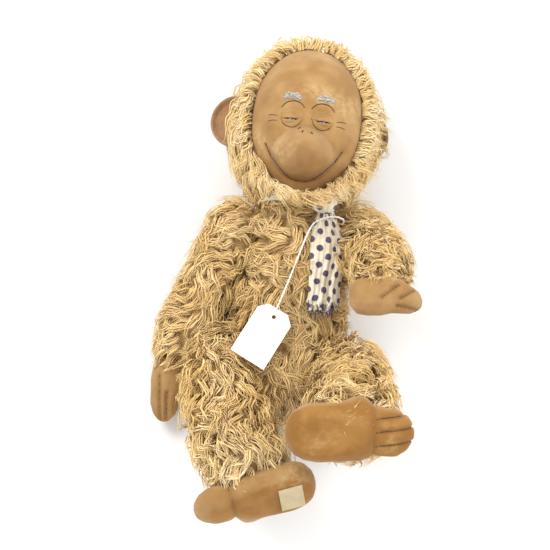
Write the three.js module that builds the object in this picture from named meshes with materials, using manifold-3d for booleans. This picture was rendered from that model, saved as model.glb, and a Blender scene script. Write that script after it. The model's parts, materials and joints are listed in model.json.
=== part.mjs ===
// Jointed stuffed monkey in long mohair, lying on its back.
// Frame: millimetres. +X is the toy's left side, +Y runs from the feet to the head, +Z is its front.
// The origin is the middle of the flat on the back that the toy lies on.
import * as THREE from 'three';
import Module from 'manifold-3d';
import { mergeVertices } from 'three/addons/utils/BufferGeometryUtils.js';

const wasm = await Module();
wasm.setup();

// ---------- driving dimensions ----------
const GAP = 0.35;             // between neighbouring pieces
const COVER = 3.0;            // cloth and backing of the mohair cover
const STUFFING_INSET = 4.4;   // stuffing below the outside of the cover
const AROUND = 12;            // sides of a stuffed form
const ALONG = 10;             // steps along a stuffed form

const SHOULDER_X = 29.0;      // flat that each arm bears on
const SHOULDER = { y: 56, z: 36 };
const HIP_X = 28.0;
const HIP = { y: -41, z: 34 };
const NECK = { x: 0, y: 88, z: 44 };
const HEAD_LEAN = THREE.MathUtils.degToRad(-1.5);

const ARM_DISC = 9.5;         // radii of the hardboard joint discs
const LEG_DISC = 12.5;
const NECK_DISC = 12.5;
const DISC_THICK = 3;
const WASHER_RADIUS = 6.5;
const WASHER_THICK = 0.9;
const PIN_RADIUS = 1.4;
const PIN_HOLE = 1.9;
const PIN_EYE = 2.6;          // radius of the loop at the head of a cotter pin
const PIN_WIRE = 0.9;

const HEAD = { x: 0, y: 55, z: 2.8, wide: 46, tall: 60, deep: 46 };   // from the neck joint
const MASK = { x: 0, y: 56, wide: 40.5, tall: 57.5, thick: 2.2 };
const MUZZLE = { x: 0, y: 22, z: 41, wide: 23.5, tall: 19.5, deep: 22 };
const EYE_RADIUS = 4.2;
const EYES = { apart: 11, y: 50, z: 44.4 };
const LID_THICK = 1.1;
const BROW = { apart: 11, y: 66.8, long: 11, high: 4.5, thick: 3 };
const EAR = { right: 55, left: 46, y: 54, z: 4, wide: 17, tall: 20, thick: 4.5 };

const FOOT_LONG = 89;
const FOOT_HIGH = 27;
const SOLE_THICK = 2.2;
const LABEL = { wide: 22, high: 17, thick: 0.7, fromHeel: 20 };

const TIE_THICK = 2.0;
// [part of its length, mm]
const TIE_HALF_WIDTHS = [[0, 8], [0.2, 10.5], [0.42, 13.2], [0.6, 13.2], [0.8, 11.5], [1, 12.5]];
const KNOT = { wide: 19, high: 13, deep: 10, x: 20, y: 80.2, z: 75 };
const BAND = { inner: 28.8, wall: 1.6, low: -6.5, high: -1.5 };   // heights along the neck, from its joint
const TICKET = { long: 43, wide: 28, thick: 0.5, clip: 6, hole: 1.6, holeIn: 6.5 };
const STRING_RADIUS = 0.7;

// ---------- materials ----------
const finish = (color, roughness, metalness = 0) =>
  new THREE.MeshStandardMaterial({ color, roughness, metalness });
const FINISH = {
  mohair: () => finish(0xc79a5e, 0.85),
  velveteen: () => finish(0xa4713c, 0.9),
  woodWool: () => finish(0xcdb98a, 0.95),
  hardboard: () => finish(0x6b4a2b, 0.7),
  steel: () => finish(0x9a9a98, 0.35, 1),
  glass: () => finish(0x33365a, 0.08),
  whiteWool: () => finish(0xcfc8bd, 0.9),
  tieCotton: () => finish(0xe7dcc4, 0.9),
  whiteCotton: () => finish(0xf1efe8, 0.85),
  card: () => finish(0xf7f6f2, 0.8),
  tape: () => finish(0xd9cda8, 0.9),
};

// ---------- solids ----------
function solid(geometry) {
  const bare = geometry.index ? geometry.clone() : mergeVertices(geometry.clone());
  bare.deleteAttribute('normal');
  bare.deleteAttribute('uv');
  const welded = mergeVertices(bare, 1e-4);
  const mesh = new wasm.Mesh({
    numProp: 3,
    vertProperties: new Float32Array(welded.attributes.position.array),
    triVerts: new Uint32Array(welded.index.array),
  });
  return new wasm.Manifold(mesh);
}

function geometryOf(body) {
  const mesh = body.getMesh();
  const geometry = new THREE.BufferGeometry();
  geometry.setAttribute('position', new THREE.BufferAttribute(new Float32Array(mesh.vertProperties), 3));
  geometry.setIndex(new THREE.BufferAttribute(new Uint32Array(mesh.triVerts), 1));
  geometry.computeVertexNormals();
  return geometry;
}

const at = (x, y, z) => new THREE.Vector3(x, y, z);

function moved(geometry, x, y, z) {
  geometry.translate(x, y, z);
  return geometry;
}

// Ellipsoid with its poles on Y, grown by `grow` on every side.
function ellipsoid(centre, wide, tall, deep, grow = 0, around = 16, along = 10) {
  const ball = new THREE.SphereGeometry(1, around, along);
  ball.scale(wide + grow, tall + grow, deep + grow);
  return moved(ball, centre.x, centre.y, centre.z);
}

// Cylinder along a unit axis, from one distance along it to another.
function rod(axis, centre, radius, from, to, sides = 16) {
  const shape = new THREE.CylinderGeometry(radius, radius, to - from, sides);
  shape.translate(0, (from + to) / 2, 0);
  shape.applyQuaternion(new THREE.Quaternion().setFromUnitVectors(at(0, 1, 0), axis));
  return moved(shape, centre.x, centre.y, centre.z);
}

// Half space below a plane, as a big block.
function beyond(axis, centre, distance) {
  const size = 600;
  const block = new THREE.BoxGeometry(size, size, size);
  block.translate(0, distance + size / 2, 0);
  block.applyQuaternion(new THREE.Quaternion().setFromUnitVectors(at(0, 1, 0), axis));
  return solid(moved(block, centre.x, centre.y, centre.z));
}

// Value at `t` of evenly eased stations [t, value...].
function station(stations, t, column) {
  let k = 0;
  while (k < stations.length - 2 && stations[k + 1][0] < t) k += 1;
  const [a, b] = [stations[k], stations[k + 1]];
  const u = THREE.MathUtils.clamp((t - a[0]) / (b[0] - a[0]), 0, 1);
  return THREE.MathUtils.lerp(a[column], b[column], u * u * (3 - 2 * u));
}

// A stuffed form along a centre line. Stations are [t, half width, half depth]; `side` is the width's
// direction. The ends are domes that take up `dome` of the length. `inset` shrinks it all round.
function stuffed({ line, stations, side, dome = 0.2 }, inset = 0, around = AROUND, along = ALONG) {
  const curve = new THREE.CatmullRomCurve3(line, false, 'centripetal');
  const length = curve.getLength();
  const profile = [];
  for (let k = 0; k <= along; k += 1) {
    const t = (1 - Math.cos((Math.PI * k) / along)) / 2;
    const edge = Math.min(t, 1 - t);
    const round = edge >= dome ? 1 : Math.sqrt(Math.max(0, 1 - ((dome - edge) / dome) ** 2));
    profile.push(new THREE.Vector2(k === 0 || k === along ? 0 : round, t));
  }
  const form = new THREE.LatheGeometry(profile, around);
  const position = form.attributes.position;
  const point = new THREE.Vector3();
  for (let i = 0; i < position.count; i += 1) {
    point.fromBufferAttribute(position, i);
    const t = point.y;
    const u = inset / length + t * (1 - (2 * inset) / length);
    const clamped = THREE.MathUtils.clamp(u, 0, 1);
    const tangent = curve.getTangentAt(clamped);
    const across = side.clone().addScaledVector(tangent, -side.dot(tangent)).normalize();
    const front = new THREE.Vector3().crossVectors(across, tangent);
    const placed = curve.getPointAt(clamped).addScaledVector(tangent, (u - clamped) * length);
    placed.addScaledVector(across, point.x * (station(stations, t, 1) - inset));
    placed.addScaledVector(front, point.z * (station(stations, t, 2) - inset));
    position.setXYZ(i, placed.x, placed.y, placed.z);
  }
  const body = solid(form);
  return body.volume() < 0 ? solid(flipped(form)) : body;
}

function flipped(geometry) {
  const index = geometry.index.array;
  for (let i = 0; i < index.length; i += 3) [index[i], index[i + 1]] = [index[i + 1], index[i]];
  return geometry;
}

// ---------- disc joints ----------
// `axis` points from the torso into the limb. Torso pieces lie at negative distances along it.
function jointPieces(name, axis, centre, radius) {
  const torsoFace = -COVER - GAP;
  const limbFace = GAP + COVER + GAP;
  const disc = (from, r) => rod(axis, centre, r, from, from + DISC_THICK);
  const bore = solid(rod(axis, centre, PIN_HOLE, -40, 40, 8));
  const torsoDisc = solid(disc(torsoFace - DISC_THICK, radius)).subtract(bore);
  const limbDisc = solid(disc(limbFace, radius)).subtract(bore);
  const torsoWasherTo = torsoFace - DISC_THICK - GAP;
  const limbWasherFrom = limbFace + DISC_THICK + GAP;
  const washer = (from) =>
    solid(rod(axis, centre, WASHER_RADIUS, from, from + WASHER_THICK, 12)).subtract(bore);
  const pin = cotterPin(axis, centre, torsoWasherTo - WASHER_THICK, limbWasherFrom + WASHER_THICK);
  return [
    [`${name}_torso_disc`, torsoDisc, FINISH.hardboard],
    [`${name}_torso_washer`, washer(torsoWasherTo - WASHER_THICK), FINISH.steel],
    [`${name}_limb_disc`, limbDisc, FINISH.hardboard],
    [`${name}_limb_washer`, washer(limbWasherFrom), FINISH.steel],
    [`${name}_cotter_pin`, pin, FINISH.steel],
  ];
}

// Eye on the torso side, two legs curled back over the washer on the limb side.
function cotterPin(axis, centre, from, to) {
  const turn = new THREE.Quaternion().setFromUnitVectors(at(0, 1, 0), axis);
  const eyeAt = from - PIN_EYE - PIN_WIRE - GAP;
  const curl = PIN_EYE * 0.7;
  const curlAt = to + GAP + PIN_WIRE + curl;
  const shaft = new THREE.CylinderGeometry(PIN_RADIUS, PIN_RADIUS, curlAt - eyeAt - PIN_EYE, 8);
  shaft.translate(0, (curlAt + eyeAt + PIN_EYE) / 2, 0);
  let pin = solid(shaft);
  const eye = new THREE.TorusGeometry(PIN_EYE, PIN_WIRE, 4, 8);
  pin = pin.add(solid(eye.translate(0, eyeAt, 0)));
  for (const way of [-1, 1]) {
    const wire = new THREE.Shape().absarc(0, 0, PIN_WIRE, 0, 2 * Math.PI, false);
    const bend = new THREE.QuadraticBezierCurve3(
      at(way * 0.4, curlAt - 0.6, 0),
      at(way * curl * 1.2, curlAt + 0.8, 0),
      at(way * curl * 2.1, curlAt - curl + 0.2, 0));
    const leg = new THREE.ExtrudeGeometry(wire, { extrudePath: bend, steps: 3, curveSegments: 3 });
    pin = pin.add(solid(leg));
  }
  const geometry = geometryOf(pin);
  geometry.applyQuaternion(turn);
  return solid(moved(geometry, centre.x, centre.y, centre.z));
}

// Room for the disc, the washer and the end of the pin inside the stuffing, on one side of the joint.
function discPocket(axis, centre, radius, way) {
  const shell = COVER - 1;
  const deep = COVER + DISC_THICK + WASHER_THICK + 2 * (PIN_EYE + PIN_WIRE) + 4 * GAP;
  const span = way > 0 ? [shell, deep] : [-deep, -shell];
  return solid(rod(axis, centre, radius + 1, span[0], span[1]));
}

// ---------- torso ----------
const torsoForm = {
  line: [at(0, -71, 31), at(0, -30, 30.5), at(0, 10, 30), at(0, 52, 35.5), at(NECK.x, 100, 44)],
  stations: [
    [0, 31, 29], [0.14, 34, 31], [0.32, 36.5, 32], [0.5, 36.5, 32.5], [0.74, 35.5, 31],
    [0.87, 23, 23.5], [1, 22, 22],
  ],
  side: at(1, 0, 0),
  dome: 0.12,
};
const neckAxis = at(-Math.sin(HEAD_LEAN), Math.cos(HEAD_LEAN), 0);
const neckPoint = at(NECK.x, NECK.y, NECK.z);
const right = at(-1, 0, 0);
const left = at(1, 0, 0);
const joints = {
  shoulder_right: { axis: right, centre: at(-SHOULDER_X, SHOULDER.y, SHOULDER.z), disc: ARM_DISC, dish: 26 },
  shoulder_left: { axis: left, centre: at(SHOULDER_X, SHOULDER.y, SHOULDER.z), disc: ARM_DISC, dish: 26 },
  hip_right: { axis: right, centre: at(-HIP_X, HIP.y, HIP.z), disc: LEG_DISC, dish: 31 },
  hip_left: { axis: left, centre: at(HIP_X, HIP.y, HIP.z), disc: LEG_DISC, dish: 31 },
};

function torsoBody(inset) {
  let body = stuffed(torsoForm, inset);
  for (const { axis, centre, dish } of Object.values(joints)) {
    body = body.subtract(solid(rod(axis, centre, dish + inset, -inset, 30, 20)));
  }
  body = body.subtract(beyond(neckAxis, neckPoint, -inset));
  return body.subtract(beyond(at(0, 0, -1), at(0, 0, 0), -inset));
}

const pinHole = (axis, centre) => solid(rod(axis, centre, PIN_HOLE, -12, 12, 8));

function torsoPieces() {
  let cover = torsoBody(0).subtract(torsoBody(COVER));
  let filling = torsoBody(STUFFING_INSET);
  const pockets = [...Object.values(joints), { axis: neckAxis, centre: neckPoint, disc: NECK_DISC }];
  for (const { axis, centre, disc } of pockets) {
    cover = cover.subtract(pinHole(axis, centre));
    filling = filling.subtract(discPocket(axis, centre, disc, -1));
  }
  return [['torso_cover', cover, FINISH.mohair], ['torso_stuffing', filling, FINISH.woodWool]];
}

// ---------- limbs ----------
// The arm on the toy's right hangs beside the body; its left arm is raised and folded over the chest.
const ARM_STATIONS = [[0, 18.3, 18], [0.2, 18.3, 19], [0.5, 15.5, 16.5], [0.8, 14.5, 14.5], [1, 13, 13]];
const LEG_STATIONS = [[0, 20, 25], [0.25, 20, 26], [0.55, 21, 24], [0.8, 21, 22], [1, 19, 20]];
const limbs = {
  arm_right: {
    joint: 'shoulder_right',
    form: {
      line: [
        at(-41, 82, 34), at(-42, 60, 36), at(-54, 34, 34),
        at(-67, 4, 30), at(-76, -20, 25), at(-81, -40, 22),
      ],
      stations: ARM_STATIONS,
      side: left,
      dome: 0.14,
    },
  },
  arm_left: {
    joint: 'shoulder_left',
    form: {
      line: [
        at(40, 69, 12), at(41.5, 58, 36), at(51, 51, 58),
        at(62, 41, 83), at(62, 28, 106), at(56, 17, 120),
      ],
      stations: ARM_STATIONS,
      side: left,
      dome: 0.14,
    },
  },
  leg_right: {
    joint: 'hip_right',
    form: {
      line: [
        at(-42, -18, 26), at(-42, -40, 34), at(-42, -66, 50),
        at(-32, -91, 66), at(-20, -112, 80), at(-12, -126, 89),
      ],
      stations: LEG_STATIONS,
      side: left,
      dome: 0.13,
    },
  },
  leg_left: {
    joint: 'hip_left',
    form: {
      line: [
        at(41, -32, 12), at(43, -41, 34), at(50, -54, 62),
        at(51, -67, 90), at(48, -78, 113), at(46, -84, 126),
      ],
      stations: LEG_STATIONS,
      side: left,
      dome: 0.13,
    },
  },
};

// Radius about a joint within which the limb is cut flat beside the torso.
const LIMB_FLAT = 36;

function limbBody({ joint, form }, inset) {
  const { axis, centre } = joints[joint];
  return stuffed(form, inset).subtract(solid(rod(axis, centre, LIMB_FLAT, -30, GAP + inset, 20)));
}

function limbPieces(name, limb) {
  const { axis, centre, disc } = joints[limb.joint];
  const cover = limbBody(limb, 0).subtract(limbBody(limb, COVER)).subtract(pinHole(axis, centre));
  const filling = limbBody(limb, STUFFING_INSET).subtract(discPocket(axis, centre, disc, 1));
  return [[`${name}_cover`, cover, FINISH.mohair], [`${name}_stuffing`, filling, FINISH.woodWool]];
}

// ---------- hands ----------
// A mitten of velveteen: palm with the fingers together, and a short thumb beside them.
const hands = {
  hand_right: {
    limb: 'arm_right',
    palm: {
      line: [at(-82, -30, 22), at(-85, -50, 19), at(-86, -68, 15), at(-86, -83, 11)],
      stations: [[0, 12, 12], [0.35, 13.5, 10.5], [0.7, 11.5, 9], [1, 8, 7]],
      side: left,
      dome: 0.18,
    },
    thumb: {
      line: [at(-76, -40, 22), at(-71, -52, 20), at(-73, -65, 17)],
      stations: [[0, 7, 8], [1, 5.5, 6]],
      side: left,
      dome: 0.3,
    },
  },
  hand_left: {
    limb: 'arm_left',
    palm: {
      line: [at(40, 7, 119), at(57, 8, 122), at(75, 9, 121), at(92, 5, 116)],
      stations: [[0, 13, 12], [0.35, 14, 13], [0.7, 11, 11.5], [1, 8, 8]],
      side: at(0, 1, 0),
      dome: 0.18,
    },
    thumb: {
      line: [at(58, 15, 127), at(71, 16, 127), at(84, 10, 123)],
      stations: [[0, 7, 7], [1, 5.5, 5.5]],
      side: at(0, 1, 0),
      dome: 0.3,
    },
  },
};

function handBody({ limb, palm, thumb }) {
  const mitten = stuffed(palm, 0, 12, 9).add(stuffed(thumb, 0, 10, 7));
  return mitten.subtract(stuffed(limbs[limb].form, -GAP));
}

// ---------- feet ----------
// Each foot is worked out about its ankle: `toe` runs heel to toe, `down` out of the sole.
const feet = {
  foot_right: {
    limb: 'leg_right',
    heel: at(29, -119, 88),
    toe: at(-0.94, -0.34, 0.02),
    down: at(0.3, -0.74, 0.6),
  },
  foot_left: {
    limb: 'leg_left',
    heel: at(3.5, -91.5, 129),
    toe: at(0.995, 0.08, 0.02),
    down: at(-0.03, -0.38, 0.92),
  },
};
const FOOT_STATIONS = [
  [0, 17, 13], [0.25, 21, 14.5], [0.55, 20, 12.5], [0.7, 17, 9.5], [0.86, 17, 9.5], [1, 14, 8],
];

function footAxes({ toe, down }) {
  const long = toe.clone().normalize();
  const out = down.clone().addScaledVector(long, -down.dot(long)).normalize();
  return { long, out, across: new THREE.Vector3().crossVectors(out, long) };
}

function footForm(foot) {
  const { long, across } = footAxes(foot);
  const line = [0, 0.3, 0.65, 1].map((t) => foot.heel.clone().addScaledVector(long, t * FOOT_LONG));
  return { line, stations: FOOT_STATIONS, side: across, dome: 0.14 };
}

// The sole is a slice of the foot's own outline, below the plane where the upper stops.
function footPieces(name, foot) {
  const { long, out, across } = footAxes(foot);
  const whole = stuffed(footForm(foot), 0, 16, 12);
  const solePlane = FOOT_HIGH / 2 - 5.5;
  const ankle = stuffed(limbs[foot.limb].form, -GAP);
  const upper = whole.subtract(beyond(out, foot.heel, solePlane)).subtract(ankle);
  const slice = whole.subtract(beyond(out.clone().negate(), foot.heel, -solePlane - GAP));
  const sole = slice.subtract(beyond(out, foot.heel, solePlane + GAP + SOLE_THICK));
  const pieces = [[`${name}_upper`, upper, FINISH.velveteen], [`${name}_sole`, sole, FINISH.velveteen]];
  if (name === 'foot_right') {
    const tape = new THREE.BoxGeometry(LABEL.wide, LABEL.thick, LABEL.high);
    tape.applyMatrix4(new THREE.Matrix4().makeBasis(across, out, long));
    const spot = foot.heel.clone().addScaledVector(long, LABEL.fromHeel);
    spot.addScaledVector(out, solePlane + 2 * GAP + SOLE_THICK + LABEL.thick / 2);
    pieces.push(['foot_label', solid(moved(tape, spot.x, spot.y, spot.z)), FINISH.tape]);
  }
  return pieces;
}

// ---------- head, worked out from the neck joint ----------
const headCentre = at(HEAD.x, HEAD.y, HEAD.z);
const headBody = (grow) => {
  const skull = solid(ellipsoid(headCentre, HEAD.wide, HEAD.tall, HEAD.deep, grow, 18, 12));
  return skull.subtract(beyond(at(0, -1, 0), at(0, 0, 0), Math.min(grow, 0) - GAP));
};

function eyeCentre(way) {
  return at(way * EYES.apart, EYES.y, EYES.z);
}

function headPieces() {
  const up = at(0, 1, 0);
  const here = at(0, 0, 0);
  const socketRadius = EYE_RADIUS + LID_THICK + 2 * GAP + 0.4;
  let cover = headBody(0).subtract(headBody(-COVER)).subtract(pinHole(up, here));
  let filling = headBody(-STUFFING_INSET).subtract(discPocket(up, here, NECK_DISC, 1));
  const oval = new THREE.CylinderGeometry(1, 1, 120, 32);
  oval.rotateX(Math.PI / 2);
  oval.scale(MASK.wide, MASK.tall, 1);
  const front = solid(moved(oval, MASK.x, MASK.y, HEAD.z + 70));
  let mask = headBody(GAP + MASK.thick).subtract(headBody(GAP)).intersect(front);
  const pieces = [];
  for (const [side, way] of [['right', -1], ['left', 1]]) {
    const centre = eyeCentre(way);
    const ball = (radius, around) => solid(ellipsoid(centre, radius, radius, radius, 0, around, around / 2));
    const socket = ball(socketRadius, 10);
    cover = cover.subtract(socket);
    filling = filling.subtract(socket);
    mask = mask.subtract(socket);
    const shell = ball(EYE_RADIUS + GAP + LID_THICK, 12).subtract(ball(EYE_RADIUS + GAP, 12));
    const lid = shell.subtract(beyond(at(0, -1, 0), centre, 0.6)).subtract(beyond(at(0, 0, -1), centre, 2));
    pieces.push([`eye_${side}`, ball(EYE_RADIUS, 10), FINISH.glass]);
    pieces.push([`eyelid_${side}`, lid, FINISH.velveteen]);
    pieces.push([`eyebrow_${side}`, browBody(way), FINISH.whiteWool]);
    pieces.push([`ear_${side}`, earBody(way), FINISH.velveteen]);
  }
  const muzzleCentre = at(MUZZLE.x, MUZZLE.y, MUZZLE.z);
  const dome = solid(ellipsoid(muzzleCentre, MUZZLE.wide, MUZZLE.tall, MUZZLE.deep, 0, 16, 10));
  const behind = headBody(2 * GAP + MASK.thick);
  const muzzle = dome.subtract(behind).subtract(beyond(at(0, -1, 0), here, -GAP - 1));
  pieces.push(['muzzle', muzzle, FINISH.velveteen]);
  pieces.push(['head_cover', cover, FINISH.mohair]);
  pieces.push(['head_stuffing', filling, FINISH.woodWool]);
  pieces.push(['face_mask', mask, FINISH.velveteen]);
  return pieces;
}

// Distance from the head's middle plane to its outside, grown by `grow`, at a place on the face.
function faceDepth(x, y, grow) {
  const u = (x - HEAD.x) / (HEAD.wide + grow);
  const v = (y - HEAD.y) / (HEAD.tall + grow);
  return HEAD.z + (HEAD.deep + grow) * Math.sqrt(1 - u * u - v * v);
}

function browBody(way) {
  const tuft = ellipsoid(at(0, 0, 0), BROW.long / 2, BROW.high / 2, BROW.thick / 2, 0, 10, 6);
  const depth = faceDepth(BROW.apart, BROW.y, 2 * GAP + MASK.thick) + BROW.thick / 2;
  return solid(moved(tuft, way * BROW.apart, BROW.y, depth));
}

function earBody(way) {
  const outline = new THREE.Shape();
  outline.absellipse(0, 0, EAR.wide, EAR.tall, 0, 2 * Math.PI, false);
  const plate = new THREE.ExtrudeGeometry(outline, {
    depth: EAR.thick,
    bevelEnabled: false,
    curveSegments: 10,
  });
  plate.translate(0, 0, -EAR.thick / 2);
  plate.rotateY(way * 0.25);
  const ear = solid(moved(plate, way * (way < 0 ? EAR.right : EAR.left), EAR.y, EAR.z));
  return ear.subtract(headBody(GAP)).subtract(beyond(at(-way, 0, 0), at(0, 0, 0), 0));
}

// ---------- tie, string and ticket ----------
const TIE_TOP = at(20, 74, 72);
const TIE_PATH = [TIE_TOP, at(22, 60, 72), at(24.5, 42, 71), at(24.5, 22, 70.5), at(23.5, 0, 71)];
const TICKET_AT = at(-17, -19, 76);
const TICKET_TURN = THREE.MathUtils.degToRad(-27);
const STRING_ROUTE = [
  at(34, 68, 68.5), at(34.5, 70.5, 73.5), at(30, 71.8, 76.4), at(25, 71.5, 77.2), at(19, 69.6, 77.0),
  at(13, 66, 75.6), at(9, 58, 74.6), at(5.5, 47, 74.0), at(2, 35, 73.8), at(-1.5, 23, 74.0),
  at(-5, 12, 74.6), at(-7.5, 4, 75.8), at(-9.2, -1.2, 77.6),
];

function neckBand() {
  const { inner, wall, low, high } = BAND;
  const corners = [[inner, low], [inner + wall, low], [inner + wall, high], [inner, high], [inner, low]];
  const band = new THREE.LatheGeometry(corners.map(([x, y]) => new THREE.Vector2(x, y)), 20);
  band.applyQuaternion(new THREE.Quaternion().setFromUnitVectors(at(0, 1, 0), neckAxis));
  return solid(moved(band, NECK.x, NECK.y, NECK.z));
}

function tieKnot() {
  const knot = ellipsoid(at(KNOT.x, KNOT.y, KNOT.z), KNOT.wide / 2, KNOT.high / 2, KNOT.deep / 2, 0, 12, 8);
  const neck = rod(neckAxis, neckPoint, BAND.inner + BAND.wall + GAP, -20, 10, 20);
  return solid(knot).subtract(solid(neck));
}

// A folded strip that follows the chest, widest a third of the way down.
function tieBlade() {
  const strip = new THREE.BoxGeometry(1, 1, TIE_THICK, 4, 12, 1);
  const path = new THREE.CatmullRomCurve3(TIE_PATH, false, 'centripetal');
  const position = strip.attributes.position;
  for (let i = 0; i < position.count; i += 1) {
    const t = 0.5 - position.getY(i);
    const spine = path.getPointAt(t);
    const x = 2 * position.getX(i) * station(TIE_HALF_WIDTHS, t, 1);
    const fall = 0.012 * x * x + 0.12 * x;
    position.setXYZ(i, spine.x + x, spine.y, spine.z - fall + position.getZ(i));
  }
  return solid(strip);
}

function ticketString() {
  const section = new THREE.Shape().absarc(0, 0, STRING_RADIUS, 0, 2 * Math.PI, false);
  const route = new THREE.CatmullRomCurve3(STRING_ROUTE, false, 'centripetal');
  return solid(new THREE.ExtrudeGeometry(section, { extrudePath: route, steps: 32, curveSegments: 4 }));
}

function ticket() {
  const [halfWide, halfLong] = [TICKET.wide / 2, TICKET.long / 2];
  const corners = [
    [-halfWide, -halfLong], [halfWide, -halfLong],
    [halfWide, halfLong - TICKET.clip], [halfWide - TICKET.clip, halfLong],
    [TICKET.clip - halfWide, halfLong], [-halfWide, halfLong - TICKET.clip],
  ];
  const card = new THREE.Shape(corners.map(([x, y]) => new THREE.Vector2(x, y)));
  card.holes.push(new THREE.Path().absarc(0, halfLong - TICKET.holeIn, TICKET.hole, 0, 2 * Math.PI, true));
  const plate = new THREE.ExtrudeGeometry(card, {
    depth: TICKET.thick,
    bevelEnabled: false,
    curveSegments: 8,
  });
  plate.rotateX(-0.02);
  plate.rotateZ(TICKET_TURN);
  return solid(moved(plate, TICKET_AT.x, TICKET_AT.y, TICKET_AT.z));
}

// ---------- assembly ----------
function addPieces(group, pieces) {
  for (const [name, body, material] of pieces) {
    const mesh = new THREE.Mesh(geometryOf(body), material());
    mesh.name = name;
    group.add(mesh);
  }
}

const monkey = new THREE.Group();
addPieces(monkey, torsoPieces());
for (const [name, limb] of Object.entries(limbs)) addPieces(monkey, limbPieces(name, limb));
for (const [name, hand] of Object.entries(hands)) {
  addPieces(monkey, [[name, handBody(hand), FINISH.velveteen]]);
}
for (const [name, foot] of Object.entries(feet)) addPieces(monkey, footPieces(name, foot));
for (const [name, { axis, centre, disc }] of Object.entries(joints)) {
  addPieces(monkey, jointPieces(name, axis, centre, disc));
}
addPieces(monkey, jointPieces('neck', neckAxis, neckPoint, NECK_DISC));
addPieces(monkey, [
  ['neck_band', neckBand(), FINISH.tieCotton],
  ['tie_knot', tieKnot(), FINISH.tieCotton],
  ['tie_blade', tieBlade(), FINISH.tieCotton],
  ['ticket_string', ticketString(), FINISH.whiteCotton],
  ['ticket', ticket(), FINISH.card],
]);
const head = new THREE.Group();
head.position.copy(neckPoint);
head.rotation.z = HEAD_LEAN;
addPieces(head, headPieces());
monkey.add(head);

export default monkey;
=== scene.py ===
# Jointed stuffed monkey in curly mohair, lying on its back with its tie and its ticket.
# Metres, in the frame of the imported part: +X the toy's left, +Y towards its head, +Z its front.
import json
import math

import bmesh
import bpy
import numpy as np
from mathutils import Matrix, Vector, noise

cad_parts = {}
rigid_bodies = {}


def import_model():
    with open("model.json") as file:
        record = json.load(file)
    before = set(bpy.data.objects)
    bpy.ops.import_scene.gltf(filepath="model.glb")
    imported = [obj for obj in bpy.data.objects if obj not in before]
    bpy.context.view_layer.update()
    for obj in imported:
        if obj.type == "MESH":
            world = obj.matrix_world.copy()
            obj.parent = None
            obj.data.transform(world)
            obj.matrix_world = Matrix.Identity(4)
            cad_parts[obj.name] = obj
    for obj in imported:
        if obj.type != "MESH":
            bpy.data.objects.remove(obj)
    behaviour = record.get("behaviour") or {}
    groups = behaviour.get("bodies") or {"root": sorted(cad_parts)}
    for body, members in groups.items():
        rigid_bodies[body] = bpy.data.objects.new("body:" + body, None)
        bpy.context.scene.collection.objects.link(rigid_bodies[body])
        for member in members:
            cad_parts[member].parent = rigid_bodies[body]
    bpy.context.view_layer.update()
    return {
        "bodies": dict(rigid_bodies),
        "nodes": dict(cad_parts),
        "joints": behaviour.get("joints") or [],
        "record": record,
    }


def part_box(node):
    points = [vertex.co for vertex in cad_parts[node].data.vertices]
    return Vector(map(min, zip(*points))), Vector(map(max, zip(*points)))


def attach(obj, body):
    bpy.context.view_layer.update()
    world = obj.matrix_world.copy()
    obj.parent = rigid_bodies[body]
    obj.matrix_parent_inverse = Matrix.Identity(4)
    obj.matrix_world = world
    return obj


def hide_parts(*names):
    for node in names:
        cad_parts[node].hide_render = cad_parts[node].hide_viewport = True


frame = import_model()

MM = 0.001

# ---------- sizes and places, from the frame ----------
JOINT_AT = {joint["name"]: Vector(joint["pos_m"]) for joint in frame["joints"]}
NECK = JOINT_AT["neck_swivel"]
HEAD_LEAN = math.radians(-1.5)

FLOOR = 0.0003                 # lowest that the pile reaches where the toy lies on it
SKULL = dict(y=55.0, z=2.8, wide=46.0, tall=60.0, deep=46.0)     # mm from the neck joint
MASK_LIFT = 2.6                # face cloth above the skull
MASK = dict(y=56.0, wide=40.5, tall=56.2)
MUZZLE = dict(y=25.5, wide=23.0, below=17.0, above=18.0, deep=16.0)
EYE = dict(apart=11.0, y=50.0, z=44.4, radius=4.2)
BROW = dict(apart=11.0, y=66.8)
EAR_AT = dict(right=55.0, left=46.0)


def centre(node):
    low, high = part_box(node)
    return (Vector(low) + Vector(high)) / 2


def head_point(x, y, z):
    """A place given in millimetres from the neck joint, in the frame of the part."""
    turned = Matrix.Rotation(HEAD_LEAN, 3, "Z") @ Vector((x, y, z))
    return NECK + turned * MM


# ---------- camera, light and floor ----------
CAMERA_AWAY = 1.2
CAMERA_TILT = math.radians(10)     # from straight above, towards the feet
CAMERA_ROLL = math.radians(5)
CAMERA_AIM = Vector((-0.012, 0.028, 0.060))
FRAME_WIDTH = 0.404                # seen at the aim
SENSOR = 36.0


def add_camera():
    data = bpy.data.cameras.new("camera")
    camera = bpy.data.objects.new("camera", data)
    bpy.context.collection.objects.link(camera)
    back = Vector((0, -math.sin(CAMERA_TILT), math.cos(CAMERA_TILT)))
    level_up = Vector((0, math.cos(CAMERA_TILT), math.sin(CAMERA_TILT)))
    level_right = level_up.cross(back)
    up = math.cos(CAMERA_ROLL) * level_up - math.sin(CAMERA_ROLL) * level_right
    right = up.cross(back)
    turn = Matrix((right, up, back)).transposed().to_4x4()
    camera.matrix_world = Matrix.Translation(CAMERA_AIM + back * CAMERA_AWAY) @ turn
    data.sensor_width = SENSOR
    data.lens = SENSOR * CAMERA_AWAY / FRAME_WIDTH
    bpy.context.scene.camera = camera


def add_light(name, place, aim, size, watts):
    data = bpy.data.lights.new(name, "AREA")
    data.shape = "SQUARE"
    data.size = size
    data.energy = watts
    lamp = bpy.data.objects.new(name, data)
    lamp.location = place
    lamp.rotation_euler = (Vector(aim) - Vector(place)).to_track_quat("-Z", "Y").to_euler()
    bpy.context.collection.objects.link(lamp)


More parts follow.
